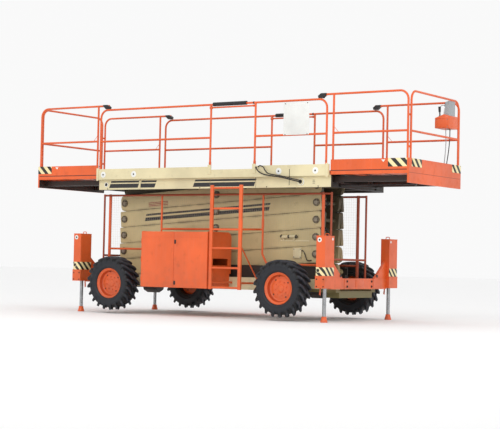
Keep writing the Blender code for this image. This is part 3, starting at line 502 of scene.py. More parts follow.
def make_finishes():
    paint = settings().paint
    finishes = {
        "orange": enamel("orange_enamel", paint.orange),
        "rim": enamel("rim_orange", paint.orange, [
            (rim_barrel, (0.46, 0.058, 0.010), 0.5), (shaded_rim_back, (0.016, 0.014, 0.013), 0.6)]),
        "guard": enamel("guard_orange", paint.orange, [(guard_shade, (0.26, 0.045, 0.018), 0.6)]),
        "extension": ext_enamel(),
        "cream": enamel("cream_enamel", paint.cream),
        "platform": enamel("platform_cream", paint.cream, [
            (platform_shadow_parts, (0.030, 0.023, 0.018), 0.6),
            (beam_bands, (0.013, 0.013, 0.015), 0.42), (seam_lines, (0.20, 0.15, 0.08), 0.6)]),
        "chassis": chassis_enamel(),
        "arm": arm_enamel("arm_enamel"),
        # Black enamel of the axles and cylinders, also used as painted shade on the undersides.
        "black": enamel("black_enamel_and_underside_shade", paint.black, rough=0.45),
        "tyre": tyre_rubber(),
        "chrome": plain_metal("polished_rod", (0.42, 0.43, 0.44), 0.24, 0.9, 90.0),
        # Painted shade: the front deck's cylinder rod sits in the shade under the deck and is given
        # a dark steel colour.
        "dark_rod": plain_metal("shade_darkened_rod", (0.06, 0.055, 0.055), 0.30, 0.8, 90.0),
        "bolt": plain_metal("zinc_bolt", (0.30, 0.28, 0.25), 0.40, 0.9),
        # Dark steel for bolts and bands, also used as painted shade on the dark discs that stand
        # for holes.
        "dark_steel_and_hole_shade": plain_metal("dark_steel_and_hole_shade", (0.035, 0.028, 0.024), 0.5, 0.3),
        "pin": plain_metal("pin_steel", (0.30, 0.26, 0.20), 0.40, 0.35),
        "ring": plain_metal("pin_ring", (0.12, 0.095, 0.062), 0.45, 0.3),
        "wire": plain_metal("mesh_wire", (0.62, 0.54, 0.36), 0.5, 0.1),
        "white": enamel("white_panel", paint.white, rough=0.4, dust=0.35),
        "grey": enamel("grey_panel", (0.36, 0.38, 0.39), rough=0.4, dust=0.4),
        "light_grey": enamel("light_grey_panel", (0.62, 0.64, 0.64), rough=0.4, dust=0.4),
        "plastic": plain_metal("black_plastic", (0.012, 0.012, 0.013), 0.42, 0.0, 120.0),
        "cable": cord_rubber("cable_jacket", (0.010, 0.010, 0.011)),
        "pale_cable": cord_rubber("pale_cable_jacket", (0.30, 0.31, 0.32)),
        "warning": warning_band("deck_warning_band", 0.152),
        "jack_warning": warning_band("jack_warning_band", 0.118),
        "deck": deck_plate("deck_tread", (0.035, 0.028, 0.024)),
        "engine": plain_metal("engine_iron", (0.075, 0.075, 0.072), 0.5, 0.5),
    }
    for stage in range(1, STAGES + 1):
        finishes[f"outer_{stage}"] = arm_enamel(f"outer_arm_enamel_{stage}", stage)
    return finishes


FINISHES = {}
NODE_FINISH = {
    "front_jack_beam": "orange", "rear_jack_beam": "orange", "near_cabinet": "orange",
    "far_cabinet": "orange", "front_deck": "extension", "rear_deck": "extension",
    "control_box": "orange", "chassis_frame": "chassis", "platform_frame": "platform",
    "near_toe_board": "cream", "far_toe_board": "cream", "platform_deck": "deck",
    "front_axle": "black", "rear_axle": "black", "near_steering_knuckle": "black",
    "far_steering_knuckle": "black", "lift_cylinder_barrel": "black",
    "front_deck_barrel": "black", "lift_cylinder_rod": "chrome", "front_deck_rod": "dark_rod",
    "engine_block": "engine", "sign_board": "white",
}


# ---------------------------------------------------------------- shapes
def round_edges(bm, edges, offset, segments=2):
    bmesh.ops.bevel(bm, geom=edges, offset=offset, offset_type="OFFSET", segments=segments,
                    profile=0.5, affect="EDGES", clamp_overlap=True, material=-1)


def block(bm, low, high, edge=0.0, segments=2):
    """A block between two corners, its edges rounded."""
    low, high = Vector(low), Vector(high)
    size = Vector([abs(b - a) for a, b in zip(low, high)])
    place = Matrix.Translation((low + high) / 2) @ Matrix.Diagonal((*size, 1.0))
    verts = bmesh.ops.create_cube(bm, size=1.0, matrix=place)["verts"]
    if edge:
        edges = list({e for v in verts for e in v.link_edges})
        round_edges(bm, edges, edge, segments)


def bar(bm, start, end, radius, sides=12, end_radius=None):
    """A round bar, or a cone, between two points."""
    start, end = Vector(start), Vector(end)
    turn = (end - start).to_track_quat("Z", "Y").to_matrix().to_4x4()
    bmesh.ops.create_cone(
        bm, cap_ends=True, segments=sides, radius1=radius,
        radius2=radius if end_radius is None else end_radius, depth=(end - start).length,
        matrix=Matrix.Translation((start + end) / 2) @ turn)


def push(bm, edges, step):
    """Extrudes an open loop of edges along a step and gives the new loop."""
    made = bmesh.ops.extrude_edge_only(bm, edges=edges)["geom"]
    verts = [v for v in made if isinstance(v, bmesh.types.BMVert)]
    bmesh.ops.translate(bm, vec=step, verts=verts)
    fresh = set(verts)
    return [e for e in made if isinstance(e, bmesh.types.BMEdge) and set(e.verts) <= fresh]


def pipe(bm, points, radius, bend=0.0, sides=0, steps=6):
    """A tube along straight runs, each corner spun to the bend radius, closed at its ends."""
    points = [Vector(p) for p in points]
    come = (points[1] - points[0]).normalized()
    turn = come.to_track_quat("Z", "Y").to_matrix().to_4x4()
    ring = bmesh.ops.create_circle(bm, cap_ends=False, segments=sides or settings().tube.sides,
                                   radius=radius, matrix=Matrix.Translation(points[0]) @ turn)
    edges = list({e for v in ring["verts"] for e in v.link_edges})
    bmesh.ops.edgeloop_fill(bm, edges=edges)
    at = points[0]
    for corner, after in zip(points[1:], points[2:]):
        come, leave = (corner - at).normalized(), (after - corner).normalized()
        angle = come.angle(leave)
        if angle < 0.02 or bend == 0:
            edges = push(bm, edges, corner - at)
            at = corner
            continue
        back = bend * math.tan(angle / 2)
        edges = push(bm, edges, corner - come * back - at)
        centre = corner - come * back + (leave - come * math.cos(angle)).normalized() * bend
        made = bmesh.ops.spin(bm, geom=edges, cent=centre, axis=come.cross(leave), angle=angle,
                              steps=steps, use_duplicate=False)["geom_last"]
        edges = [e for e in made if isinstance(e, bmesh.types.BMEdge)]
        at = corner + leave * back
    edges = push(bm, edges, points[-1] - at)
    bmesh.ops.edgeloop_fill(bm, edges=edges)


def join(bm, shape, place):
    """Moves a finished shape to its place and adds it."""
    mesh = bpy.data.meshes.new("shape")
    shape.to_mesh(mesh)
    shape.free()
    mesh.transform(place)
    bm.from_mesh(mesh)
    bpy.data.meshes.remove(mesh)


def lathe(bm, profile, centre, outward, steps=48):
    """A profile of (radius, height) points spun about an axis that points outward."""
    shape = bmesh.new()
    verts = [shape.verts.new((radius, 0.0, height)) for radius, height in profile]
    edges = [shape.edges.new(pair) for pair in zip(verts, verts[1:])]
    bmesh.ops.spin(shape, geom=verts + edges, cent=(0, 0, 0), axis=(0, 0, 1), angle=math.tau,
                   steps=steps, use_merge=True, use_duplicate=False)
    bmesh.ops.remove_doubles(shape, verts=shape.verts, dist=0.00001)
    turn = Vector(outward).to_track_quat("Z", "X").to_matrix().to_4x4()
    join(bm, shape, Matrix.Translation(centre) @ turn)


def slab(bm, outline, step):
    """A flat outline of points pushed out along a step."""
    face = bm.faces.new([bm.verts.new(point) for point in outline])
    made = bmesh.ops.extrude_face_region(bm, geom=[face])["geom"]
    verts = [v for v in made if isinstance(v, bmesh.types.BMVert)]
    bmesh.ops.translate(bm, vec=step, verts=verts)


def hex_bolt(bm, place, outward, radius, height):
    """A hexagon head with a washer under it."""
    place, outward = Vector(place), Vector(outward)
    bar(bm, place, place + outward * height * 0.25, radius * 1.5, 16)
    bar(bm, place + outward * height * 0.25, place + outward * height, radius, 6)


def piece(name, bm, finish, body, stands_for=(), sharp=35):
    """Turns a bmesh into a piece that rides on a body."""
    bmesh.ops.recalc_face_normals(bm, faces=bm.faces)
    mesh = bpy.data.meshes.new(name)
    bm.to_mesh(mesh)
    bm.free()
    obj = bpy.data.objects.new(name, mesh)
    bpy.context.scene.collection.objects.link(obj)
    mesh.materials.append(FINISHES[finish])
    mesh.shade_smooth()
    mesh.set_sharp_from_angle(angle=math.radians(sharp))
    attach(obj, body)
    if stands_for:
        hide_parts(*stands_for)


# ---------------------------------------------------------------- cords
SIDE_CABLE_ROUTE = (
    (0.905, -0.8853, 2.262), (0.905, -0.900, 2.262), (0.925, -0.912, 2.238),
    (0.975, -0.914, 2.19), (1.05, -0.914, 2.155), (1.14, -0.914, 2.135),
    (1.24, -0.914, 2.122), (1.34, -0.914, 2.108), (1.43, -0.912, 2.09),
    (1.52, -0.905, 2.068), (1.595, -0.892, 2.05), (1.64, -0.862, 2.04),
    (1.64, -0.8353, 2.04),
)
PALE_CABLE_ROUTE = (
    (3.30, 0.585, 2.8847), (3.30, 0.585, 2.84), (3.302, 0.587, 2.77), (3.30, 0.595, 2.68),
    (3.29, 0.607, 2.58), (3.275, 0.621, 2.48), (3.26, 0.633, 2.39), (3.25, 0.641, 2.30),
    (3.245, 0.645, 2.24), (3.245, 0.645, 2.1963),
)
SPARE_CABLE_ROUTE = (
    (0.945, -0.8853, 2.268), (0.945, -0.897, 2.268), (0.985, -0.908, 2.284),
    (1.045, -0.912, 2.262), (1.08, -0.914, 2.21), (1.14, -0.916, 2.163),
    (1.24, -0.917, 2.143), (1.34, -0.916, 2.127), (1.43, -0.914, 2.109),
    (1.52, -0.907, 2.088), (1.595, -0.894, 2.071), (1.655, -0.864, 2.058),
    (1.657, -0.8353, 2.056),
)
CONTROL_CABLE_ROUTE = (
    (3.36, 0.60, 2.8847), (3.36, 0.60, 2.84), (3.358, 0.602, 2.77), (3.35, 0.61, 2.68),
    (3.335, 0.622, 2.58), (3.315, 0.636, 2.48), (3.295, 0.648, 2.39), (3.28, 0.656, 2.30),
    (3.275, 0.66, 2.24), (3.275, 0.66, 2.1963),
)


def smooth_route(points, count):
    """Points on a smooth curve through the route's own points."""
    points = [Vector(p) for p in points]
    ends = [points[0] * 2 - points[1]] + points + [points[-1] * 2 - points[-2]]
    spans = len(points) - 1
    path = []
    for step in range(count + 1):
        place = min(step / count * spans, spans - 1e-9)
        index, t = int(place), place - int(place)
        a, b, c, d = ends[index:index + 4]
        path.append(0.5 * (2 * b + (c - a) * t + (2 * a - 5 * b + 4 * c - d) * t * t
                           + (3 * b - 3 * c + d - a) * t ** 3))
    return path


def length_of(path):
    return sum((b - a).length for a, b in zip(path, path[1:]))


def cord_piece(name, path, radius, finish, body, stands_for=()):
    """A cord as one open curve; its length is worked out but not kept."""
    curve = bpy.data.curves.new(name, "CURVE")
    curve.dimensions = "3D"
    curve.bevel_depth = radius
    curve.bevel_resolution = 4
    curve.use_fill_caps = True
    spline = curve.splines.new("POLY")
    spline.points.add(len(path) - 1)
    for place, point in zip(spline.points, path):
        place.co = (*point, 1.0)
    obj = bpy.data.objects.new(name, curve)
    bpy.context.scene.collection.objects.link(obj)
    curve.materials.append(FINISHES[finish])
    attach(obj, body)
    if stands_for:
        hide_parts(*stands_for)
    round(length_of(path), 4)


def cord_path(route, count):
    return [Vector(route[0]), *smooth_route(route[1:-1], count), Vector(route[-1])]


# ---------------------------------------------------------------- wheels
def tread_lug(bm, turn, hand, width):
    """One slanted lug, from the middle of the tread over the shoulder and down the sidewall."""
    shape = bmesh.new()
    bmesh.ops.create_cube(shape, size=1.0)
    across = [e for e in shape.edges if abs(e.verts[0].co.x - e.verts[1].co.x) > 0.5]
    bmesh.ops.subdivide_edges(shape, edges=across, cuts=5, use_grid_fill=True)
    top = [e for e in shape.edges if all(v.co.z > 0.4 for v in e.verts)
           and abs(e.verts[0].co.y - e.verts[1].co.y) < 0.1]
    round_edges(shape, top, 0.16, 1)
    for vert in shape.verts:
        run = vert.co.x + 0.5
        height = 0.012 + run * (TYRE_HALF - 0.0145)
        rise = vert.co.z + 0.5
        shoulder = max(0.0, (height - 0.105) / 0.0485)
        low = 0.372 - 0.052 * shoulder ** 1.5
        high = WHEEL_RADIUS - 0.012 * shoulder ** 2
        radius = low + (high - low) * rise
        slant = -hand * (1.0 - run) ** 1.25 * 0.26
        angle = turn + slant + vert.co.y * width * (1.0 + 0.25 * (1 - rise)) / radius
        height = min(height, TYRE_HALF - 0.0005)
        vert.co = (radius * math.cos(angle), radius * math.sin(angle), hand * height)
    join(bm, shape, Matrix.Identity(4))


def build_tyre(name, centre, outward, body):
    half = TYRE_HALF
    shape = bmesh.new()
    side = [(0.2362, 0.110), (0.240, 0.122), (0.250, 0.131), (0.262, 0.135), (0.266, 0.1385),
            (0.274, 0.1385), (0.279, 0.1375), (0.310, 0.1455), (0.338, half - 0.0055),
            (0.355, half - 0.012), (0.370, 0.130), (0.379, 0.105), (0.3835, 0.06), (0.384, 0.0)]
    profile = side + [(r, -h) for r, h in reversed(side[:-1])] + [side[0]]
    lathe(shape, profile, (0, 0, 0), (0, 0, 1), 64)
    lugs = settings().wheel.lugs
    for hand in (-1, 1):
        for step in range(lugs):
            turn = math.tau * (step + (0.5 if hand > 0 else 0.0)) / lugs
            tread_lug(shape, turn, hand, settings().wheel.lug_width)
    bm = bmesh.new()
    turn = Vector(outward).to_track_quat("Z", "X").to_matrix().to_4x4()
    join(bm, shape, Matrix.Translation(centre) @ turn)
    piece(name, bm, "tyre", body, (name.replace("_rubber", ""),), 30)


def build_rim(name, centre, outward, body):
    centre, outward = Vector(centre), Vector(outward)
    bm = bmesh.new()
    profile = [
        (0, 0.056), (0.046, 0.056), (0.052, 0.053), (0.056, 0.047), (0.060, 0.0435),
        (0.118, 0.0435), (0.140, 0.040), (0.154, 0.0352), (0.172, 0.0352), (0.184, 0.040),
        (0.191, 0.052), (0.195, 0.074), (0.199, 0.092), (0.206, 0.099), (0.214, 0.102),
        (0.220, 0.110),
        (0.2275, 0.1165), (0.2345, 0.1155), (0.2345, -0.1155), (0.2275, -0.1165),
        (0.214, -0.103), (0.200, -0.095), (0.190, -0.02), (0.172, 0.020), (0.155, 0.0335),
        (0, 0.0335)]
    lathe(bm, profile, centre, outward, 64)
    piece(name, bm, "rim", body, (name.replace("_disc", ""),), 40)
    bm = bmesh.new()
    turn = outward.to_track_quat("Z", "X").to_matrix()
    nuts = settings().wheel.nuts
    for step in range(nuts):
        angle = math.tau * (step + 0.25) / nuts
        spot = turn @ Vector((0.100 * math.cos(angle), 0.100 * math.sin(angle), 0.0455))
        hex_bolt(bm, centre + spot - outward * 0.003, outward, 0.0105, 0.013)
    piece(name.replace("_disc", "_nuts"), bm, "rim", body)
    bm = bmesh.new()
    # Painted shade: four dark discs on the dish stand for holes in the rim.
    for step in range(4):
        angle = math.tau * (step + 0.4) / 4
        spot = turn @ Vector((0.147 * math.cos(angle), 0.147 * math.sin(angle), 0.033))
        bar(bm, centre + spot, centre + spot + outward * 0.0065, 0.012, 20)
    spot = turn @ Vector((0.178, 0.02, 0.034))
    bar(bm, centre + spot, centre + spot + outward * 0.040, 0.004, 8)
    piece(name.replace("_disc", "_dark_dots"), bm, "dark_steel_and_hole_shade", body)


# ---------------------------------------------------------------- jacks
def build_jack(end, word, side):
    outer = 1 if end == "front" else -1
    x, y = JACK_X[end], side * JACK_Y
    body, name = f"{end}_{word}_jack", f"{end}_{word}_jack"
    bm = bmesh.new()
    lathe(bm, [(0, 0.086), (0.0275, 0.086), (0.0275, 0.856), (0.0235, 0.860), (0, 0.860)],
          (x, y, 0), (0, 0, 1), 32)
    piece(name + "_rod", bm, "chrome", body, (f"{name}_leg",))
    bm = bmesh.new()
    lathe(bm, [(0, 0), (0.050, 0), (0.0525, 0.003), (0.0525, 0.016), (0.049, 0.024),
               (0.041, 0.052), (0.038, 0.068), (0.038, 0.078), (0.030, 0.085), (0, 0.085)],
          (x, y, 0), (0, 0, 1), 32)
    piece(name + "_foot", bm, "orange", body)
    face_y, face_x = y + side * 0.13, x + outer * 0.073
    bm = bmesh.new()
    block(bm, (x - 0.0735, face_y - 0.0005, 0.668), (x + 0.0735, face_y + side * 0.0016, 0.792),
          0.0004)
    for hand in (-1, 1):
        block(bm, (x + hand * 0.073, y - 0.1305, 0.668), (x + hand * 0.0746, y + 0.1305, 0.792),
              0.0004)
    piece(name + "_warning_band", bm, "jack_warning", "chassis")
    bm = bmesh.new()
    for place, outward, radius in (
            ((x - 0.02, face_y, 1.185), (0, side, 0), 0.034),
            ((face_x, y - 0.085 * side, 1.20), (outer, 0, 0), 0.020)):
        lathe(bm, [(0, 0.002), (radius - 0.001, 0.002), (radius, 0.001), (radius, 0), (0, 0)],
              place, outward, 32)
    piece(name + "_stickers", bm, "white", "chassis")
    bm = bmesh.new()
    lathe(bm, [(0, 0.0032), (0.012, 0.0032), (0.014, 0.002), (0.014, 0), (0, 0)],
          (x - 0.02, face_y + side * 0.001, 1.185), (0, side, 0), 24)
    # Painted shade: the dark disc inside the cream ring stands for a hole in the jack housing.
    lathe(bm, [(0, 0.0042), (0.022, 0.0042), (0.024, 0.002), (0.024, 0), (0, 0)],
          (x - 0.040, face_y + side * 0.0008, 0.745), (0, side, 0), 28)
    for z in (0.515, 0.62):
        for along in (-0.055, 0.055):
            hex_bolt(bm, (x + along, y + side * 0.138, z), (0, side, 0), 0.007, 0.006)
    piece(name + "_dark_dots", bm, "dark_steel_and_hole_shade", "chassis")
    bm = bmesh.new()
    lathe(bm, [(0.024, 0.0), (0.024, 0.003), (0.032, 0.003), (0.032, 0.0), (0.024, 0.0)],
          (x - 0.040, face_y + side * 0.0006, 0.745), (0, side, 0), 28)
    piece(name + "_ring", bm, "cream", "chassis")
    bm = bmesh.new()
    back = x - outer * 0.075
    slab(bm, [(back, y - 0.006, 0.49), (back - outer * 0.012, y - 0.006, 0.40),
              (back + outer * 0.008, y - 0.006, 0.385), (back + outer * 0.015, y - 0.006, 0.49)],
         (0, 0.012, 0))
    block(bm, (x - 0.084, y - 0.141, 0.660), (x + 0.084, y + 0.141, 0.668), 0.002)
    block(bm, (x - 0.076, y - 0.133, 1.236), (x + 0.076, y + 0.133, 1.246), 0.003)
    hold = y - side * 0.05
    handle = [(x - 0.03, hold, 1.236), (x - 0.03, hold, 1.276), (x + 0.03, hold, 1.276),
              (x + 0.03, hold, 1.236)]
    pipe(bm, handle, 0.006, 0.012, 10, 4)
    piece(name + "_brackets", bm, "orange", "chassis")


def build_beam_face(end):
    """Bolts and the blank plate on the outer face of a jack beam."""
    outer = 1 if end == "front" else -1
    face = JACK_X[end] + outer * 0.03
    bm = bmesh.new()
    for y in (-0.375, 0.375):
        for z in (0.515, 0.592):
            hex_bolt(bm, (face, y, z), (outer, 0, 0), 0.012, 0.012)
    for y in (-0.56, 0.56):
        bar(bm, (face - outer * 0.012, y, 0.672), (face - outer * 0.004, y, 0.672), 0.022, 24)
    piece(end + "_beam_bolts", bm, "dark_steel_and_hole_shade", "chassis")
    bm = bmesh.new()
    block(bm, (face, -0.13, 0.502), (face + outer * 0.003, 0.13, 0.610), 0.001)
    piece(end + "_beam_plate", bm, "orange", "chassis")
    bm = bmesh.new()
    for y in (-0.44, 0.44):
        block(bm, (face - outer * 0.001, y - 0.022, 0.478),
              (face + outer * 0.004, y + 0.022, 0.634), 0.002)
    piece(end + "_beam_joints", bm, "orange", "chassis")


# ---------------------------------------------------------------- cabinets
def build_door(word, side, end):
    rear = end == "rear"
    low_x, high_x = (-0.975, -0.3555) if rear else (-0.3525, 0.267)
    inner, outer = side * 1.18, side * 1.20
    body, name = f"{word}_{end}_door_leaf", f"{word}_{end}_door"
    bm = bmesh.new()
    block(bm, (low_x, inner, 0.434), (high_x, outer, 1.285), 0.005, 3)
    piece(name + "_panel", bm, "orange", body, (name,))
    bm = bmesh.new()
    block(bm, (low_x + 0.012, outer - side * 0.001, 1.192), (high_x - 0.012, outer + side * 0.0012,
                                                             1.273), 0.001)
    hinge = low_x + 0.004 if rear else high_x - 0.004
    for z in (0.56, 0.86, 1.14):
        bar(bm, (hinge, outer, z - 0.04), (hinge, outer, z + 0.04), 0.0055, 12)
    piece(name + "_trim", bm, "orange", body)
    bm = bmesh.new()
    edge = high_x - 0.028 if rear else low_x + 0.028
    if not rear:
        for z in (0.508, 1.13):
            block(bm, (edge - 0.020, outer - side * 0.001, z - 0.030),
                  (edge + 0.010, outer + side * 0.0055, z + 0.030), 0.003)
            block(bm, (edge - 0.012, outer + side * 0.004, z - 0.006),
                  (edge + 0.004, outer + side * 0.006, z + 0.022), 0.002)
    else:
        for z in (0.508, 1.13):
            block(bm, (edge + 0.010, inner + side * 0.002, z - 0.02),
                  (edge + 0.022, inner - side * 0.012, z + 0.02), 0.002)
    piece(name + "_latches", bm, "plastic", body)


def build_cabinet(word, side):
    bm = bmesh.new()
    wall = 0.267
    block(bm, (wall - 0.001, side * 0.670, 0.770), (wall + 0.004, side * 0.990, 0.782), 0.001)
    block(bm, (wall - 0.001, side * 0.670, 0.887), (wall + 0.004, side * 0.990, 0.899), 0.001)
    for x in (-0.975, wall - 0.014):
        block(bm, (x, side * 0.62, 1.283), (x + 0.014, side * 1.178, 1.291), 0.002)
    for z in (0.52, 0.56, 0.60, 0.64):
        block(bm, (-0.978, side * 0.72, z), (-0.970, side * 1.05, z + 0.012), 0.002)
    piece(word + "_cabinet_trim", bm, "orange", "chassis")
    bm = bmesh.new()
    if side < 0:
        block(bm, (-0.90, -0.70, 0.455), (-0.42, -1.05, 0.93), 0.03, 3)
        bar(bm, (-0.80, -0.86, 0.92), (-0.80, -0.86, 0.99), 0.035, 20)
        block(bm, (-0.30, -0.72, 0.455), (0.16, -1.04, 0.74), 0.02, 3)
    else:
        bar(bm, (-0.55, 0.89, 1.11), (-0.55, 0.89, 1.16), 0.05, 20)
        for x in (-0.74, -0.22, -0.04):
            block(bm, (x, 0.80, 1.115), (x + 0.12, 0.98, 1.15), 0.012)
    piece(word + "_cabinet_gear", bm, "engine", "chassis")


def build_engine():
    """Fins, pulleys and pipes on the engine in the far cabinet."""
    bm = bmesh.new()
    block(bm, (-0.85, 0.68, 0.4543), (0.12, 1.10, 1.02), 0.02, 2)
    block(bm, (-0.80, 0.76, 1.01), (0.05, 1.02, 1.118), 0.03, 3)
    for step in range(8):
        x = -0.78 + step * 0.11
        block(bm, (x, 1.092, 0.55), (x + 0.025, 1.112, 0.95), 0.004)
    for z, radius in ((0.62, 0.09), (0.84, 0.06)):
        lathe(bm, [(0, 0.03), (radius * 0.6, 0.03), (radius, 0.028), (radius - 0.012, 0.018),
                   (radius, 0.008), (radius, 0.0), (0, 0)], (0.115, 0.89, z), (1, 0, 0), 32)
    pipe(bm, [(-0.6, 1.10, 0.98), (-0.6, 1.135, 0.98), (-0.1, 1.135, 0.98), (-0.1, 1.135, 0.6)],
         0.02, 0.03, 12, 4)
    piece("engine_castings", bm, "engine", "chassis", ("engine_block",))


# ---------------------------------------------------------------- ladders and guards
def build_ladder(word, side):
    y = side * 1.17
    rear, front, low, top = 0.315, 0.835, 0.43, 1.985
    bm = bmesh.new()
    for x in (rear, front):
        block(bm, (x - 0.027, y - 0.018, low), (x + 0.027, y + 0.018, top), 0.006)
        block(bm, (x - 0.016, y - side * 0.010, 0.515), (x + 0.016, side * 0.6003, 0.545), 0.004)
    for z in RUNG_HEIGHTS:
        bar(bm, (rear, y, z), (front, y, z), 0.0145, 16)
    for x in (rear + 0.08, front - 0.08):
        bar(bm, (x, y, 1.321), (x, side * 0.5463, 1.341), 0.014, 14)
    bar(bm, (front - 0.01, y, 1.12), (front - 0.02, side * 0.614, 0.53), 0.010, 12)
    block(bm, (front + 0.020, y - 0.012, 1.28), (front + 0.034, y + 0.012, 1.47), 0.004)
    piece(word + "_ladder_steel", bm, "orange", "chassis", (word + "_ladder",))
    bm = bmesh.new()
    for z in RUNG_HEIGHTS:
        for step in range(9):
            x = rear + 0.06 + step * 0.05
            block(bm, (x - 0.012, y - 0.005, z + 0.012), (x + 0.012, y + 0.005, z + 0.0165), 0.001)
    piece(word + "_ladder_grips", bm, "orange", "chassis")


def mesh_panel(bm, low_x, high_x, low_z, high_z, y):
    """Woven wire between two heights: flat bars, half in front and half behind."""
    tube = settings().tube
    half = tube.wire / 2
    across = max(2, round((high_x - low_x) / tube.pitch))
    for step in range(1, across):
        x = low_x + (high_x - low_x) * step / across
        block(bm, (x - half, y - half * 1.6, low_z), (x + half, y + half * 0.2, high_z))
    up = max(2, round((high_z - low_z) / tube.pitch))
    for step in range(1, up):
        z = low_z + (high_z - low_z) * step / up
        block(bm, (low_x, y - half * 0.2, z - half), (high_x, y + half * 1.6, z + half))


def build_guard(word, side):
    y = side * GUARD_Y
    rear_out, rear_in, front_in, front_out = -2.26, -2.14, 1.87, 2.01
    base, gap, tube = 0.6133, 1.343, 0.016
    lines = [[(x, base), (x, GUARD_TOP)] for x in (rear_out, rear_in, front_in, front_out)]
    lines += [
        [(rear_out, GUARD_TOP - 0.02), (front_out, GUARD_TOP - 0.02)],
        [(-1.095, GUARD_TOP - 0.02), (-1.095, 1.02), (rear_in, 1.02)],
        [(-1.095, gap), (0.817, gap)],
        [(0.817, GUARD_TOP - 0.02), (0.817, 0.97), (0.90, 0.82), (front_in, 0.82)],
    ]
    bm = bmesh.new()
    for line in lines:
        post = line[0][0] in (rear_in, front_in) and line[0][1] == base
        pipe(bm, [(x, y, z) for x, z in line], 0.024 if post else tube, 0.05, 12, 4)
    bar(bm, (0.817, y, 1.36), (0.817, y, 1.50), 0.0205, 14)
    for x in (rear_out, rear_in, front_in, front_out):
        block(bm, (x - 0.03, y - 0.026, base), (x + 0.03, y + 0.026, base + 0.008), 0.002)
    if side < 0:
        for x in (rear_out, front_out):
            bar(bm, (x, y, 0.91), (x, 0.5137, 0.91), tube, 14)
    piece(word + "_guard_tubes", bm, "guard", "chassis", (word + "_guard",))
    bm = bmesh.new()
    top = GUARD_TOP - 0.02
    mesh_panel(bm, rear_in, -1.095, 1.02, top, y)
    mesh_panel(bm, -1.095, 0.817, gap, top, y)
    mesh_panel(bm, 0.817, front_in, 0.97, top, y)
    piece(word + "_guard_wire", bm, "wire", "chassis")


# ---------------------------------------------------------------- scissor stack
def arm_point(stage, along, up, slope=1):
    cos, sin = math.cos(ARM_REST), math.sin(ARM_REST) * slope
    return (ARM_MID_X + along * cos - up * sin,
            ARM_PIN_Z + (stage - 0.5) * STAGE_RISE + along * sin + up * cos)


def build_arm_bosses(stage):
    """The round pin ends on an outer arm, each with a ring round it."""
    rings, pins = bmesh.new(), bmesh.new()
    for side in (-1, 1):
        for along in (-ARM_LENGTH / 2, 0.0, ARM_LENGTH / 2):
            x, z = arm_point(stage, along, 0)
            place = (x, side * ARM_FACE, z)
            lathe(rings, [(0.0, 0.0212), (0.054, 0.0212), (0.0565, 0.018), (0.058, 0.0),
                          (0.0, 0.0)], place, (0, side, 0), 28)
            lathe(pins, [(0, 0.0238), (0.027, 0.0238), (0.030, 0.0225), (0.030, 0.015),
                         (0, 0.015)], place, (0, side, 0), 28)
    piece(f"outer_arm_{stage}_pin_rings", rings, "ring", f"outer_{stage}")
    piece(f"outer_arm_{stage}_pin_ends", pins, "pin", f"outer_{stage}")


def build_arm_gear():
    """The accumulator, its bracket and the valve box on the near face of the lower arms."""
    face = -ARM_FACE
    bm = bmesh.new()
    bar(bm, (1.06, face - 0.030, 1.236), (1.31, face - 0.030, 1.252), 0.024, 20)
    block(bm, (1.02, face + 0.001, 1.176), (1.53, face - 0.006, 1.192), 0.002)
    for x in (1.09, 1.27):
        block(bm, (x - 0.012, face + 0.001, 1.19), (x + 0.012, face - 0.024, 1.236), 0.002)
    piece("arm_accumulator", bm, "cream", "outer_2")
    bm = bmesh.new()
    for x in (1.055, 1.313):
        bar(bm, (x - 0.012, face - 0.030, 1.2358), (x + 0.012, face - 0.030, 1.2522), 0.0255, 20)
    bar(bm, (1.17, face - 0.030, 1.243), (1.20, face - 0.030, 1.245), 0.0248, 20)
    piece("arm_accumulator_bands", bm, "dark_steel_and_hole_shade", "outer_2")
    bm = bmesh.new()
    block(bm, (1.255, face + 0.001, 0.915), (1.40, face - 0.020, 1.075), 0.006)
    piece("arm_valve_box", bm, "cream", "outer_1")
    bm = bmesh.new()
    for z in (0.935, 1.055):
        for x in (1.27, 1.385):
            hex_bolt(bm, (x, face - 0.020, z), (0, -1, 0), 0.006, 0.005)
    piece("arm_valve_bolts", bm, "bolt", "outer_1")
    path = smooth_route(((1.40, -0.352, 1.035), (1.43, -0.354, 1.030), (1.462, -0.356, 0.985),
                         (1.485, -0.357, 0.93), (1.50, -0.357, 0.895), (1.535, -0.356, 0.885),
                         (1.56, -0.348, 0.89), (1.575, -0.3405, 0.893)), 18)
    cord_piece("arm_valve_hose", path, 0.007, "cable", "outer_1", ())


def build_stack_hoses():
    """Hose loops that leave the front end of the stack and go back into it."""
    loops = (
        ("inner_2", 1.722, -0.225, 1.345, 1.205, 0.075, -0.03),
        ("inner_2", 1.722, -0.245, 1.385, 1.225, 0.060, 0.03),
        ("inner_4", 1.722, -0.225, 1.79, 1.72, 0.045, 0.02),
    )
    for number, (body, x, y, top, low, reach, swing) in enumerate(loops, 1):
        route = ((x, y, top), (x + reach * 0.5, y, top - 0.01),
                 (x + reach * 0.95, y + swing * 0.5, top - 0.05),
                 (x + reach, y + swing, (top + low) / 2),
                 (x + reach * 0.8, y + swing * 0.5, low + 0.01),
                 (x + reach * 0.4, y, low - 0.004), (x, y, low))
        cord_piece(f"stack_hose_{number}", smooth_route(route, 20), 0.010, "cable", body, ())


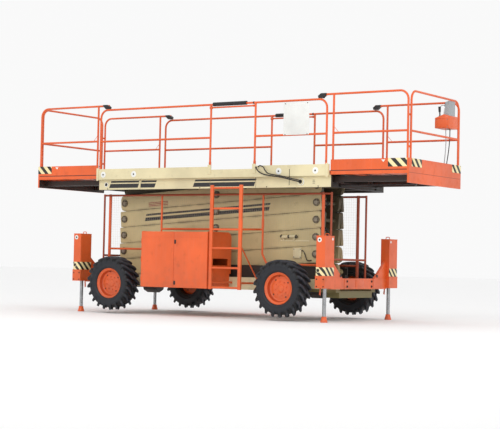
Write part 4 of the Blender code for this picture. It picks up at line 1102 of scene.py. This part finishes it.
# ---------------------------------------------------------------- platform
def build_platform_trim(word, side):
    y, beam = side * TOE_FACE, side * BEAM_FACE
    plates = bmesh.new()
    for x in (-2.135, 2.125):
        block(plates, (x - 0.020, y - side * 0.001, 2.10), (x + 0.020, y + side * 0.010, 2.302),
              0.004)
    for x in (GATE_REAR, GATE_FRONT):
        block(plates, (x - 0.030, y - side * 0.001, 2.17), (x + 0.030, y + side * 0.008, 2.315),
              0.003)
    block(plates, (-1.344, beam - side * 0.001, 1.965), (-1.316, beam + side * 0.006, 2.112),
          0.002)
    for low_x, high_x in ((-2.11, 0.84), (0.88, 2.10)):
        block(plates, (low_x, beam - side * 0.001, 2.104), (high_x, beam + side * 0.012, 2.1175),
              0.003)
    piece(word + "_platform_plates", plates, "cream", "platform")
    discs, dots = bmesh.new(), bmesh.new()
    for x in (-2.02, -1.405, 1.30, 1.93):
        lathe(discs, [(0, 0.004), (0.044, 0.004), (0.048, 0.0025), (0.050, 0), (0, 0)],
              (x, y, 2.196), (0, side, 0), 32)
        hex_bolt(dots, (x, y + side * 0.004, 2.196), (0, side, 0), 0.009, 0.007)
    ring_place = (-2.01, beam, FITTING_Z)
    lathe(discs, [(0.026, 0.0), (0.026, 0.004), (0.036, 0.004), (0.037, 0.0), (0.026, 0.0)],
          ring_place, (0, side, 0), 32)
    # Painted shade: the dark disc inside the white ring stands for a hole in the side beam.
    lathe(dots, [(0, 0.0015), (0.0255, 0.0015), (0.0255, 0), (0, 0)], ring_place,
          (0, side, 0), 32)
    if side < 0:
        lathe(discs, [(0.046, 0.0), (0.046, 0.016), (0.052, 0.016), (0.054, 0.0), (0.046, 0.0)],
              (FITTING_X, beam, FITTING_Z), (0, side, 0), 32)
        block(dots, (1.487, y - 0.004, 1.985), (1.495, y - 0.001, 2.225), 0.001)
        for z in (2.013, 2.035, 2.057):
            block(dots, (1.845, beam - 0.0015, z), (1.885, beam, z + 0.006), 0.0005)
    for low_x, high_x in ((-2.13, -0.02), (0.90, 2.09)):
        for x in (low_x + 0.15, high_x - 0.15):
            hex_bolt(dots, (x, beam, 1.972), (0, side, 0), 0.006, 0.005)
    piece(word + "_platform_discs", discs, "white", "platform")
    piece(word + "_platform_bolts_and_hole_shade", dots, "dark_steel_and_hole_shade", "platform")


def build_platform_underside():
    """The cable's boss, the ledges across both ends of the frame and the joists of its deck; ledges
    and joists are black as painted shade.
    """
    bm = bmesh.new()
    lathe(bm, [(0, 0.0235), (0.030, 0.0235), (0.0435, 0.019), (0.0455, 0.016), (0.0455, 0.0),
               (0, 0.0)], (FITTING_X, -0.8118, FITTING_Z), (0, -1, 0), 32)
    piece("cable_fitting", bm, "plastic", "platform")
    bm = bmesh.new()
    for end in (-1, 1):
        x = end * 2.154
        for z in (1.966, 2.005):
            block(bm, (x, -0.76, z), (x + end * 0.006, 0.76, z + 0.012), 0.002)
        for y in (-0.70, -0.35, 0.0, 0.35, 0.70):
            hex_bolt(bm, (x, y, 2.027), (end, 0, 0), 0.008, 0.006)
    piece("platform_end_ledges", bm, "black", "platform")
    bm = bmesh.new()
    for x in (-1.6, -1.1, -0.7, -0.2, 0.2, 0.7, 1.1, 1.6):
        for side in (-1, 1):
            block(bm, (x - 0.02, side * 0.505, 2.126), (x + 0.02, side * 0.760, 2.149), 0.002)
    piece("platform_deck_joists", bm, "black", "platform")


def build_main_rail(word, side):
    y, tube = side * RAIL_Y, settings().tube
    foot = 2.2863
    bm = bmesh.new()
    pipe(bm, [(-RAIL_END, y, foot), (-RAIL_END, y, RAIL_TOP), (RAIL_END, y, RAIL_TOP),
              (RAIL_END, y, foot)], tube.radius, tube.bend, steps=8)
    for x in (GATE_REAR, GATE_FRONT):
        bar(bm, (x, y, foot), (x, y, RAIL_TOP), tube.radius, tube.sides)
        bar(bm, (x, y, foot), (x, y, 2.36), tube.radius + 0.004, tube.sides)
    for low_x, high_x in ((-RAIL_END, GATE_REAR), (GATE_FRONT, RAIL_END)):
        bar(bm, (low_x, y, RAIL_MID), (high_x, y, RAIL_MID), tube.radius, tube.sides)
    piece(word + "_rail_tubes", bm, "orange", "platform", (word + "_main_rail",))
    bm = bmesh.new()
    low_x, high_x = (0.095, 0.70) if side < 0 else (0.13, 0.45)
    bar(bm, (low_x, y, RAIL_TOP + 0.004), (high_x, y, RAIL_TOP + 0.004), 0.030, 20)
    bar(bm, (GATE_FRONT - 0.04, y, RAIL_TOP), (GATE_FRONT - 0.025, y, RAIL_TOP), 0.020, 16)
    for x in (-RAIL_END, GATE_REAR, GATE_FRONT, RAIL_END):
        hex_bolt(bm, (x, y + side * tube.radius, 2.33), (0, side, 0), 0.006, 0.006)
    piece(word + "_rail_pads", bm, "plastic", "platform")


def build_gate(word, side):
    y = side * RAIL_Y
    bm = bmesh.new()
    lathe(bm, [(0.0178, -0.018), (0.0255, -0.018), (0.0262, -0.016), (0.0262, 0.016),
               (0.0255, 0.018), (0.0178, 0.018), (0.0178, -0.018)],
          (GATE_REAR, y, GATE_Z), (0, 0, 1), 28)
    bar(bm, (GATE_REAR + 0.024, y, GATE_Z), (0.836, y, GATE_Z), 0.0125, 16)
    bar(bm, (0.815, y, GATE_Z), (0.8405, y, GATE_Z), 0.017, 16)
    piece(word + "_gate_tube", bm, "orange", word + "_gate_bar",
          (word + "_gate",))


def build_sign():
    bm = bmesh.new()
    block(bm, (1.37, -0.8853, 2.726), (1.81, -0.8893, 3.205), 0.0015)
    piece("sign_panel", bm, "white", "platform", ("sign_board",))
    bm = bmesh.new()
    for x in (1.40, 1.78):
        for z in (RAIL_MID + 0.004, 3.19):
            hex_bolt(bm, (x, -0.8893, z), (0, -1, 0), 0.006, 0.004)
    piece("sign_bolts", bm, "bolt", "platform")


# ---------------------------------------------------------------- extension decks
def build_extension(word, end):
    body = word + "_extension"
    tube = settings().tube
    foot = 2.3533
    bm = bmesh.new()
    for side in (-1, 1):
        y = side * EXT_RAIL_Y
        pipe(bm, [(end * EXT_RAIL_START, y, EXT_RAIL_TOP),
                  (end * EXT_POST_OUT, y, EXT_RAIL_TOP), (end * EXT_POST_OUT, y, foot)],
             tube.radius, tube.bend, steps=8)
        bar(bm, (end * EXT_POST_IN, y, foot), (end * EXT_POST_IN, y, EXT_RAIL_TOP), tube.radius,
            tube.sides)
        bar(bm, (end * EXT_POST_IN, y, EXT_RAIL_MID), (end * EXT_POST_OUT, y, EXT_RAIL_MID),
            tube.radius, tube.sides)
        bar(bm, (end * EXT_POST_IN, y, RAIL_MID + 0.115), (end * (EXT_POST_IN + 0.085), y,
                                                        EXT_RAIL_MID + 0.01), 0.0035, 8)
        for z in (2.50, 2.95):
            block(bm, (end * (EXT_POST_OUT + 0.002), side * EXT_HOOP_Y, z),
                  (end * (EXT_POST_OUT + 0.014), y, z + 0.03), 0.002)
    x, y = end * EXT_HOOP, EXT_HOOP_Y
    pipe(bm, [(x, -y, foot), (x, -y, EXT_RAIL_TOP), (x, y, EXT_RAIL_TOP), (x, y, foot)],
         tube.radius, tube.bend, steps=8)
    bar(bm, (x, -y, EXT_RAIL_MID), (x, y, EXT_RAIL_MID), tube.radius, tube.sides)
    piece(word + "_deck_rail_tubes", bm, "orange", body, (word + "_deck_rails",))
    bm = bmesh.new()
    for side in (-1, 1):
        y = side * EXT_RAIL_Y
        x, low_y = end * EXT_RAIL_START, y - side * 0.020
        slab(bm, [(x - end * 0.030, low_y, 3.286), (x + end * 0.02, low_y, 3.3225),
                  (x + end * 0.105, low_y, 3.3225), (x + end * 0.095, low_y, 3.295),
                  (x + end * 0.045, low_y, 3.2525), (x - end * 0.022, low_y, 3.2525)],
             (0, side * 0.060, 0))
    piece(word + "_rail_guides", bm, "plastic", body)
    bm = bmesh.new()
    face = EXT_SIDE
    for side in (-1, 1):
        if end > 0:
            low_x, high_x = EXT_END - 0.032 - 0.30, EXT_END - 0.032
        else:
            low_x, high_x = -EXT_END, -EXT_END + 0.29
        block(bm, (low_x, side * (face - 0.0005), 2.232), (high_x, side * (face + 0.0015), 2.352),
              0.0004)
    for low_y, high_y in ((-0.765, -0.45), (0.55, 0.849)):
        block(bm, (end * (EXT_END - 0.0005), low_y, 2.236), (end * (EXT_END + 0.0015), high_y,
                                                          2.352), 0.0004)
    piece(word + "_deck_warning_bands", bm, "warning", body)
    bm = bmesh.new()
    sticker = end * (EXT_END - 0.405)
    for side in (-1, 1):
        slab(bm, [(sticker - 0.035, side * face, 2.335), (sticker + 0.03, side * face, 2.335),
                  (sticker, side * face, 2.300)], (0, side * 0.0015, 0))
    piece(word + "_deck_stickers", bm, "white", body)
    # Painted shade: the ribs under the deck floor are black.
    bm = bmesh.new()
    for y in (-0.50, 0.0, 0.50):
        block(bm, (end * 2.28, y - 0.02, 2.172), (end * (EXT_END - 0.03), y + 0.02, 2.1755),
              0.001)
    for x in (2.42, 2.75, 3.08, 3.36):
        block(bm, (end * (x - 0.02), -0.825, 2.172), (end * (x + 0.02), 0.825, 2.1755), 0.001)
    piece(word + "_deck_ribs", bm, "black", body)


# ---------------------------------------------------------------- controls
def build_controls():
    body = "front_extension"
    bm = bmesh.new()
    slab(bm, [(3.20, 0.41, 2.885), (3.425, 0.41, 2.885), (3.425, 0.41, 3.07), (3.345, 0.41, 3.09),
              (3.20, 0.41, 3.04)], (0, 0.33, 0))
    round_edges(bm, bm.edges, 0.008)
    block(bm, (3.205, 0.405, 3.028), (3.42, 0.413, 3.034), 0.001)
    piece("console_case", bm, "orange", body, ("control_box",))
    top = EXT_RAIL_TOP - 0.0163
    bm = bmesh.new()
    slab(bm, [(3.335, 0.432, 2.99), (3.421, 0.432, 2.99), (3.421, 0.432, top - 0.01),
              (3.414, 0.432, top), (3.355, 0.432, top - 0.02)], (0, 0.208, 0))
    round_edges(bm, bm.edges, 0.005)
    piece("console_panel", bm, "grey", body)
    bm = bmesh.new()
    slab(bm, [(3.318, 0.448, 3.082), (3.3375, 0.448, 3.185), (3.352, 0.448, 3.185),
              (3.350, 0.448, 3.082)], (0, 0.176, 0))
    piece("console_label_plate", bm, "light_grey", body)
    bm = bmesh.new()
    slab(bm, [(3.340, 0.440, 3.205), (3.3465, 0.440, 3.262), (3.36, 0.440, 3.262),
              (3.358, 0.440, 3.205)], (0, 0.192, 0))
    bar(bm, (3.345, 0.56, 3.225), (3.326, 0.56, 3.227), 0.017, 20)
    bar(bm, (3.33, 0.50, 3.14), (3.306, 0.50, 3.143), 0.010, 16)
    bar(bm, (3.33, 0.58, 3.14), (3.306, 0.58, 3.143), 0.010, 16)
    bar(bm, (3.255, 0.47, 3.045), (3.255, 0.47, 3.075), 0.026, 20, 0.018)
    bar(bm, (3.255, 0.47, 3.07), (3.250, 0.47, 3.150), 0.010, 14)
    bar(bm, (3.250, 0.47, 3.13), (3.246, 0.47, 3.21), 0.017, 16, 0.020)
    pipe(bm, [(3.349, 0.54, 3.232), (3.27, 0.50, 3.234), (3.247, 0.476, 3.20)], 0.0035, 0.02, 8)
    for y in (0.56, 0.61, 0.66):
        bar(bm, (3.255, y, 3.052), (3.253, y, 3.092), 0.008, 12)
    piece("console_controls", bm, "plastic", body)
    bm = bmesh.new()
    for x in (3.222, 3.405):
        for z in (2.91, 3.01):
            hex_bolt(bm, (x, 0.41, z), (0, -1, 0), 0.005, 0.004)
    bar(bm, (3.36, 0.60, 2.885), (3.36, 0.60, 2.868), 0.014, 16)
    bar(bm, (3.36, 0.54, 2.885), (3.36, 0.54, 2.868), 0.014, 16)
    piece("control_box_bolts", bm, "bolt", body)


# ---------------------------------------------------------------- stage
def aim(obj, place, target):
    obj.location = place
    obj.rotation_euler = (Vector(target) - Vector(place)).to_track_quat("-Z", "Y").to_euler()


def area_light(name, place, target, size, power, colour=(1, 1, 1)):
    light = bpy.data.lights.new(name, "AREA")
    light.shape = "RECTANGLE"
    light.size, light.size_y = size
    light.energy = power
    light.color = colour
    obj = bpy.data.objects.new(name, light)
    bpy.context.scene.collection.objects.link(obj)
    aim(obj, place, target)


class LIFT_OT_stage(bpy.types.Operator):
    """Camera, floor and soft studio light"""
    bl_idname = "lift.stage"
    bl_label = "Stage"

    def execute(self, context):
        stage = settings().stage
        camera = bpy.data.cameras.new("camera")
        camera.lens, camera.sensor_width = stage.lens, SENSOR_WIDTH
        camera.clip_end = CLIP_END
        obj = bpy.data.objects.new("camera", camera)
        context.scene.collection.objects.link(obj)
        yaw, pitch, roll = CAMERA_YAW, CAMERA_PITCH, CAMERA_ROLL
        ahead = Vector((-math.sin(yaw) * math.cos(pitch), math.cos(yaw) * math.cos(pitch),
                        math.sin(pitch)))
        across = ahead.cross(Vector((0, 0, 1))).normalized()
        upward = across.cross(ahead)
        right = across * math.cos(roll) + upward * math.sin(roll)
        top = upward * math.cos(roll) - across * math.sin(roll)
        turn = Matrix((right, top, -ahead)).transposed().to_4x4()
        obj.matrix_world = Matrix.Translation(CAMERA_PLACE) @ turn
        context.scene.camera = obj

        bm = bmesh.new()
        bmesh.ops.create_grid(bm, x_segments=1, y_segments=1, size=FLOOR_REACH)
        mesh = bpy.data.meshes.new("floor")
        bm.to_mesh(mesh)
        bm.free()
        floor = bpy.data.objects.new("floor", mesh)
        finish = Finish("pale_floor")
        cloud = finish.noise(0.6, 3.0)
        finish.set("Base Color", finish.mix(cloud, rgba(stage.floor),
                                            rgba(shade(stage.floor, 0.985))))
        finish.shader.inputs["Roughness"].default_value = 0.9
        mesh.materials.append(finish.material)
        context.scene.collection.objects.link(floor)

        world = bpy.data.worlds.new("studio")
        world.use_nodes = True
        sky = world.node_tree.nodes["Background"].inputs
        sky["Color"].default_value = (1, 1, 1, 1)
        sky["Strength"].default_value = WORLD_STRENGTH
        context.scene.world = world
        context.scene.view_settings.view_transform = "Standard"
        area_light("key", (2.0, -13.0, 9.0), (0, 0, 1.6), (7.0, 5.0), stage.key,
                   (1.0, 0.98, 0.95))
        area_light("fill", (12.0, -5.0, 4.0), (1, 0, 1.5), (5.0, 5.0), stage.fill)
        return {"FINISHED"}


# ---------------------------------------------------------------- operators
class LIFT_OT_finishes(bpy.types.Operator):
    """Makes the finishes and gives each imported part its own"""
    bl_idname = "lift.finishes"
    bl_label = "Finishes"

    def execute(self, context):
        FINISHES.update(make_finishes())
        chosen = dict(NODE_FINISH)
        for stage in range(1, STAGES + 1):
            chosen[f"outer_arm_{stage}"] = f"outer_{stage}"
            chosen[f"inner_arm_{stage}"] = "arm"
        for node, finish in chosen.items():
            mesh = NODES[node].data
            mesh.materials.clear()
            mesh.materials.append(FINISHES[finish])
        return {"FINISHED"}


class LIFT_OT_cords(bpy.types.Operator):
    """The side cable and the control cable, each with its twin"""
    bl_idname = "lift.cords"
    bl_label = "Cables"

    def execute(self, context):
        side = cord_path(SIDE_CABLE_ROUTE, 36)
        cord_piece("side_cable_jacket", side, 0.009, "cable", "platform", ("side_cable",))
        spare = cord_path(SPARE_CABLE_ROUTE, 36)
        cord_piece("side_cable_loop", spare, 0.008, "cable", "platform")
        control = cord_path(CONTROL_CABLE_ROUTE, 32)
        cord_piece("control_cable_jacket", control, 0.007, "cable", "front_extension",
                   ("control_cable",))
        pale = cord_path(PALE_CABLE_ROUTE, 32)
        cord_piece("control_cable_pale", pale, 0.006, "pale_cable", "front_extension")
        return {"FINISHED"}


class LIFT_OT_wheels(bpy.types.Operator):
    """Lugged tyres and deep rims"""
    bl_idname = "lift.wheels"
    bl_label = "Wheels"

    def execute(self, context):
        for end, _ in ENDS:
            for word, side in SIDES:
                body = f"{end}_{word}_wheel"
                centre = (WHEEL_X[end], side * WHEEL_Y, WHEEL_Z)
                build_tyre(f"{end}_{word}_tyre_rubber", centre, (0, side, 0), body)
                build_rim(f"{end}_{word}_rim_disc", centre, (0, side, 0), body)
        return {"FINISHED"}


class LIFT_OT_jacks(bpy.types.Operator):
    """Jack rods, feet, warning bands and the fittings of the jack beams"""
    bl_idname = "lift.jacks"
    bl_label = "Jacks"

    def execute(self, context):
        for end, _ in ENDS:
            build_beam_face(end)
            for word, side in SIDES:
                build_jack(end, word, side)
        return {"FINISHED"}


class LIFT_OT_cabinets(bpy.types.Operator):
    """Doors, latches, hinges and the gear inside the cabinets"""
    bl_idname = "lift.cabinets"
    bl_label = "Cabinets"

    def execute(self, context):
        for word, side in SIDES:
            build_cabinet(word, side)
            for end, _ in ENDS:
                build_door(word, side, end)
        build_engine()
        return {"FINISHED"}


class LIFT_OT_access(bpy.types.Operator):
    """Ladders and wire guards"""
    bl_idname = "lift.access"
    bl_label = "Ladders and guards"

    def execute(self, context):
        for word, side in SIDES:
            build_ladder(word, side)
            build_guard(word, side)
        return {"FINISHED"}


class LIFT_OT_stack(bpy.types.Operator):
    """Pin ends, hoses and the gear on the scissor arms"""
    bl_idname = "lift.stack"
    bl_label = "Scissor stack"

    def execute(self, context):
        for stage in range(1, STAGES + 1):
            build_arm_bosses(stage)
        build_arm_gear()
        build_stack_hoses()
        return {"FINISHED"}


class LIFT_OT_platform(bpy.types.Operator):
    """Rails, gates, plates and bolts of the platform"""
    bl_idname = "lift.platform"
    bl_label = "Platform"

    def execute(self, context):
        for word, side in SIDES:
            build_platform_trim(word, side)
            build_main_rail(word, side)
            build_gate(word, side)
        build_platform_underside()
        build_sign()
        return {"FINISHED"}


class LIFT_OT_extensions(bpy.types.Operator):
    """Rails, warning bands and ribs of the sliding decks, and the controls"""
    bl_idname = "lift.extensions"
    bl_label = "Extension decks"

    def execute(self, context):
        for word, end in ENDS:
            build_extension(word, end)
        build_controls()
        return {"FINISHED"}


OPERATORS = (
    LIFT_OT_finishes, LIFT_OT_stage, LIFT_OT_cords, LIFT_OT_wheels, LIFT_OT_jacks,
    LIFT_OT_cabinets, LIFT_OT_access, LIFT_OT_stack, LIFT_OT_platform, LIFT_OT_extensions,
)


class LIFT_Looks(bpy.types.PropertyGroup):
    paint: PointerProperty(type=LIFT_PaintSettings, name="Paint", description="Colours and wear")
    tube: PointerProperty(type=LIFT_TubeSettings, name="Tubes", description="Rails and mesh")
    wheel: PointerProperty(type=LIFT_WheelSettings, name="Wheels", description="Tyres and rims")
    stage: PointerProperty(type=LIFT_StageSettings, name="Stage", description="Camera and light")


class LIFT_PT_panel(bpy.types.Panel):
    """Lists the steps that build the lift"""
    bl_idname = "LIFT_PT_panel"
    bl_label = "Scissor lift"
    bl_space_type = "VIEW_3D"
    bl_region_type = "UI"
    bl_category = "Lift"

    def draw(self, context):
        looks = context.scene.lift_looks
        for group in (looks.paint, looks.tube, looks.wheel, looks.stage):
            box = self.layout.box()
            for name in group.bl_rna.properties.keys():
                if name not in ("rna_type", "name"):
                    box.prop(group, name)
        for operator in OPERATORS:
            self.layout.operator(operator.bl_idname)


CLASSES = (
    LIFT_PaintSettings, LIFT_TubeSettings, LIFT_WheelSettings, LIFT_StageSettings, LIFT_Looks,
    *OPERATORS, LIFT_PT_panel,
)


def register():
    for cls in CLASSES:
        bpy.utils.register_class(cls)
    bpy.types.Scene.lift_looks = PointerProperty(type=LIFT_Looks)


def unregister():
    del bpy.types.Scene.lift_looks
    for cls in reversed(CLASSES):
        bpy.utils.unregister_class(cls)


def main():
    register()
    for operator in OPERATORS:
        group, name = operator.bl_idname.split(".")
        getattr(getattr(bpy.ops, group), name)()


if __name__ == "__main__":
    main()
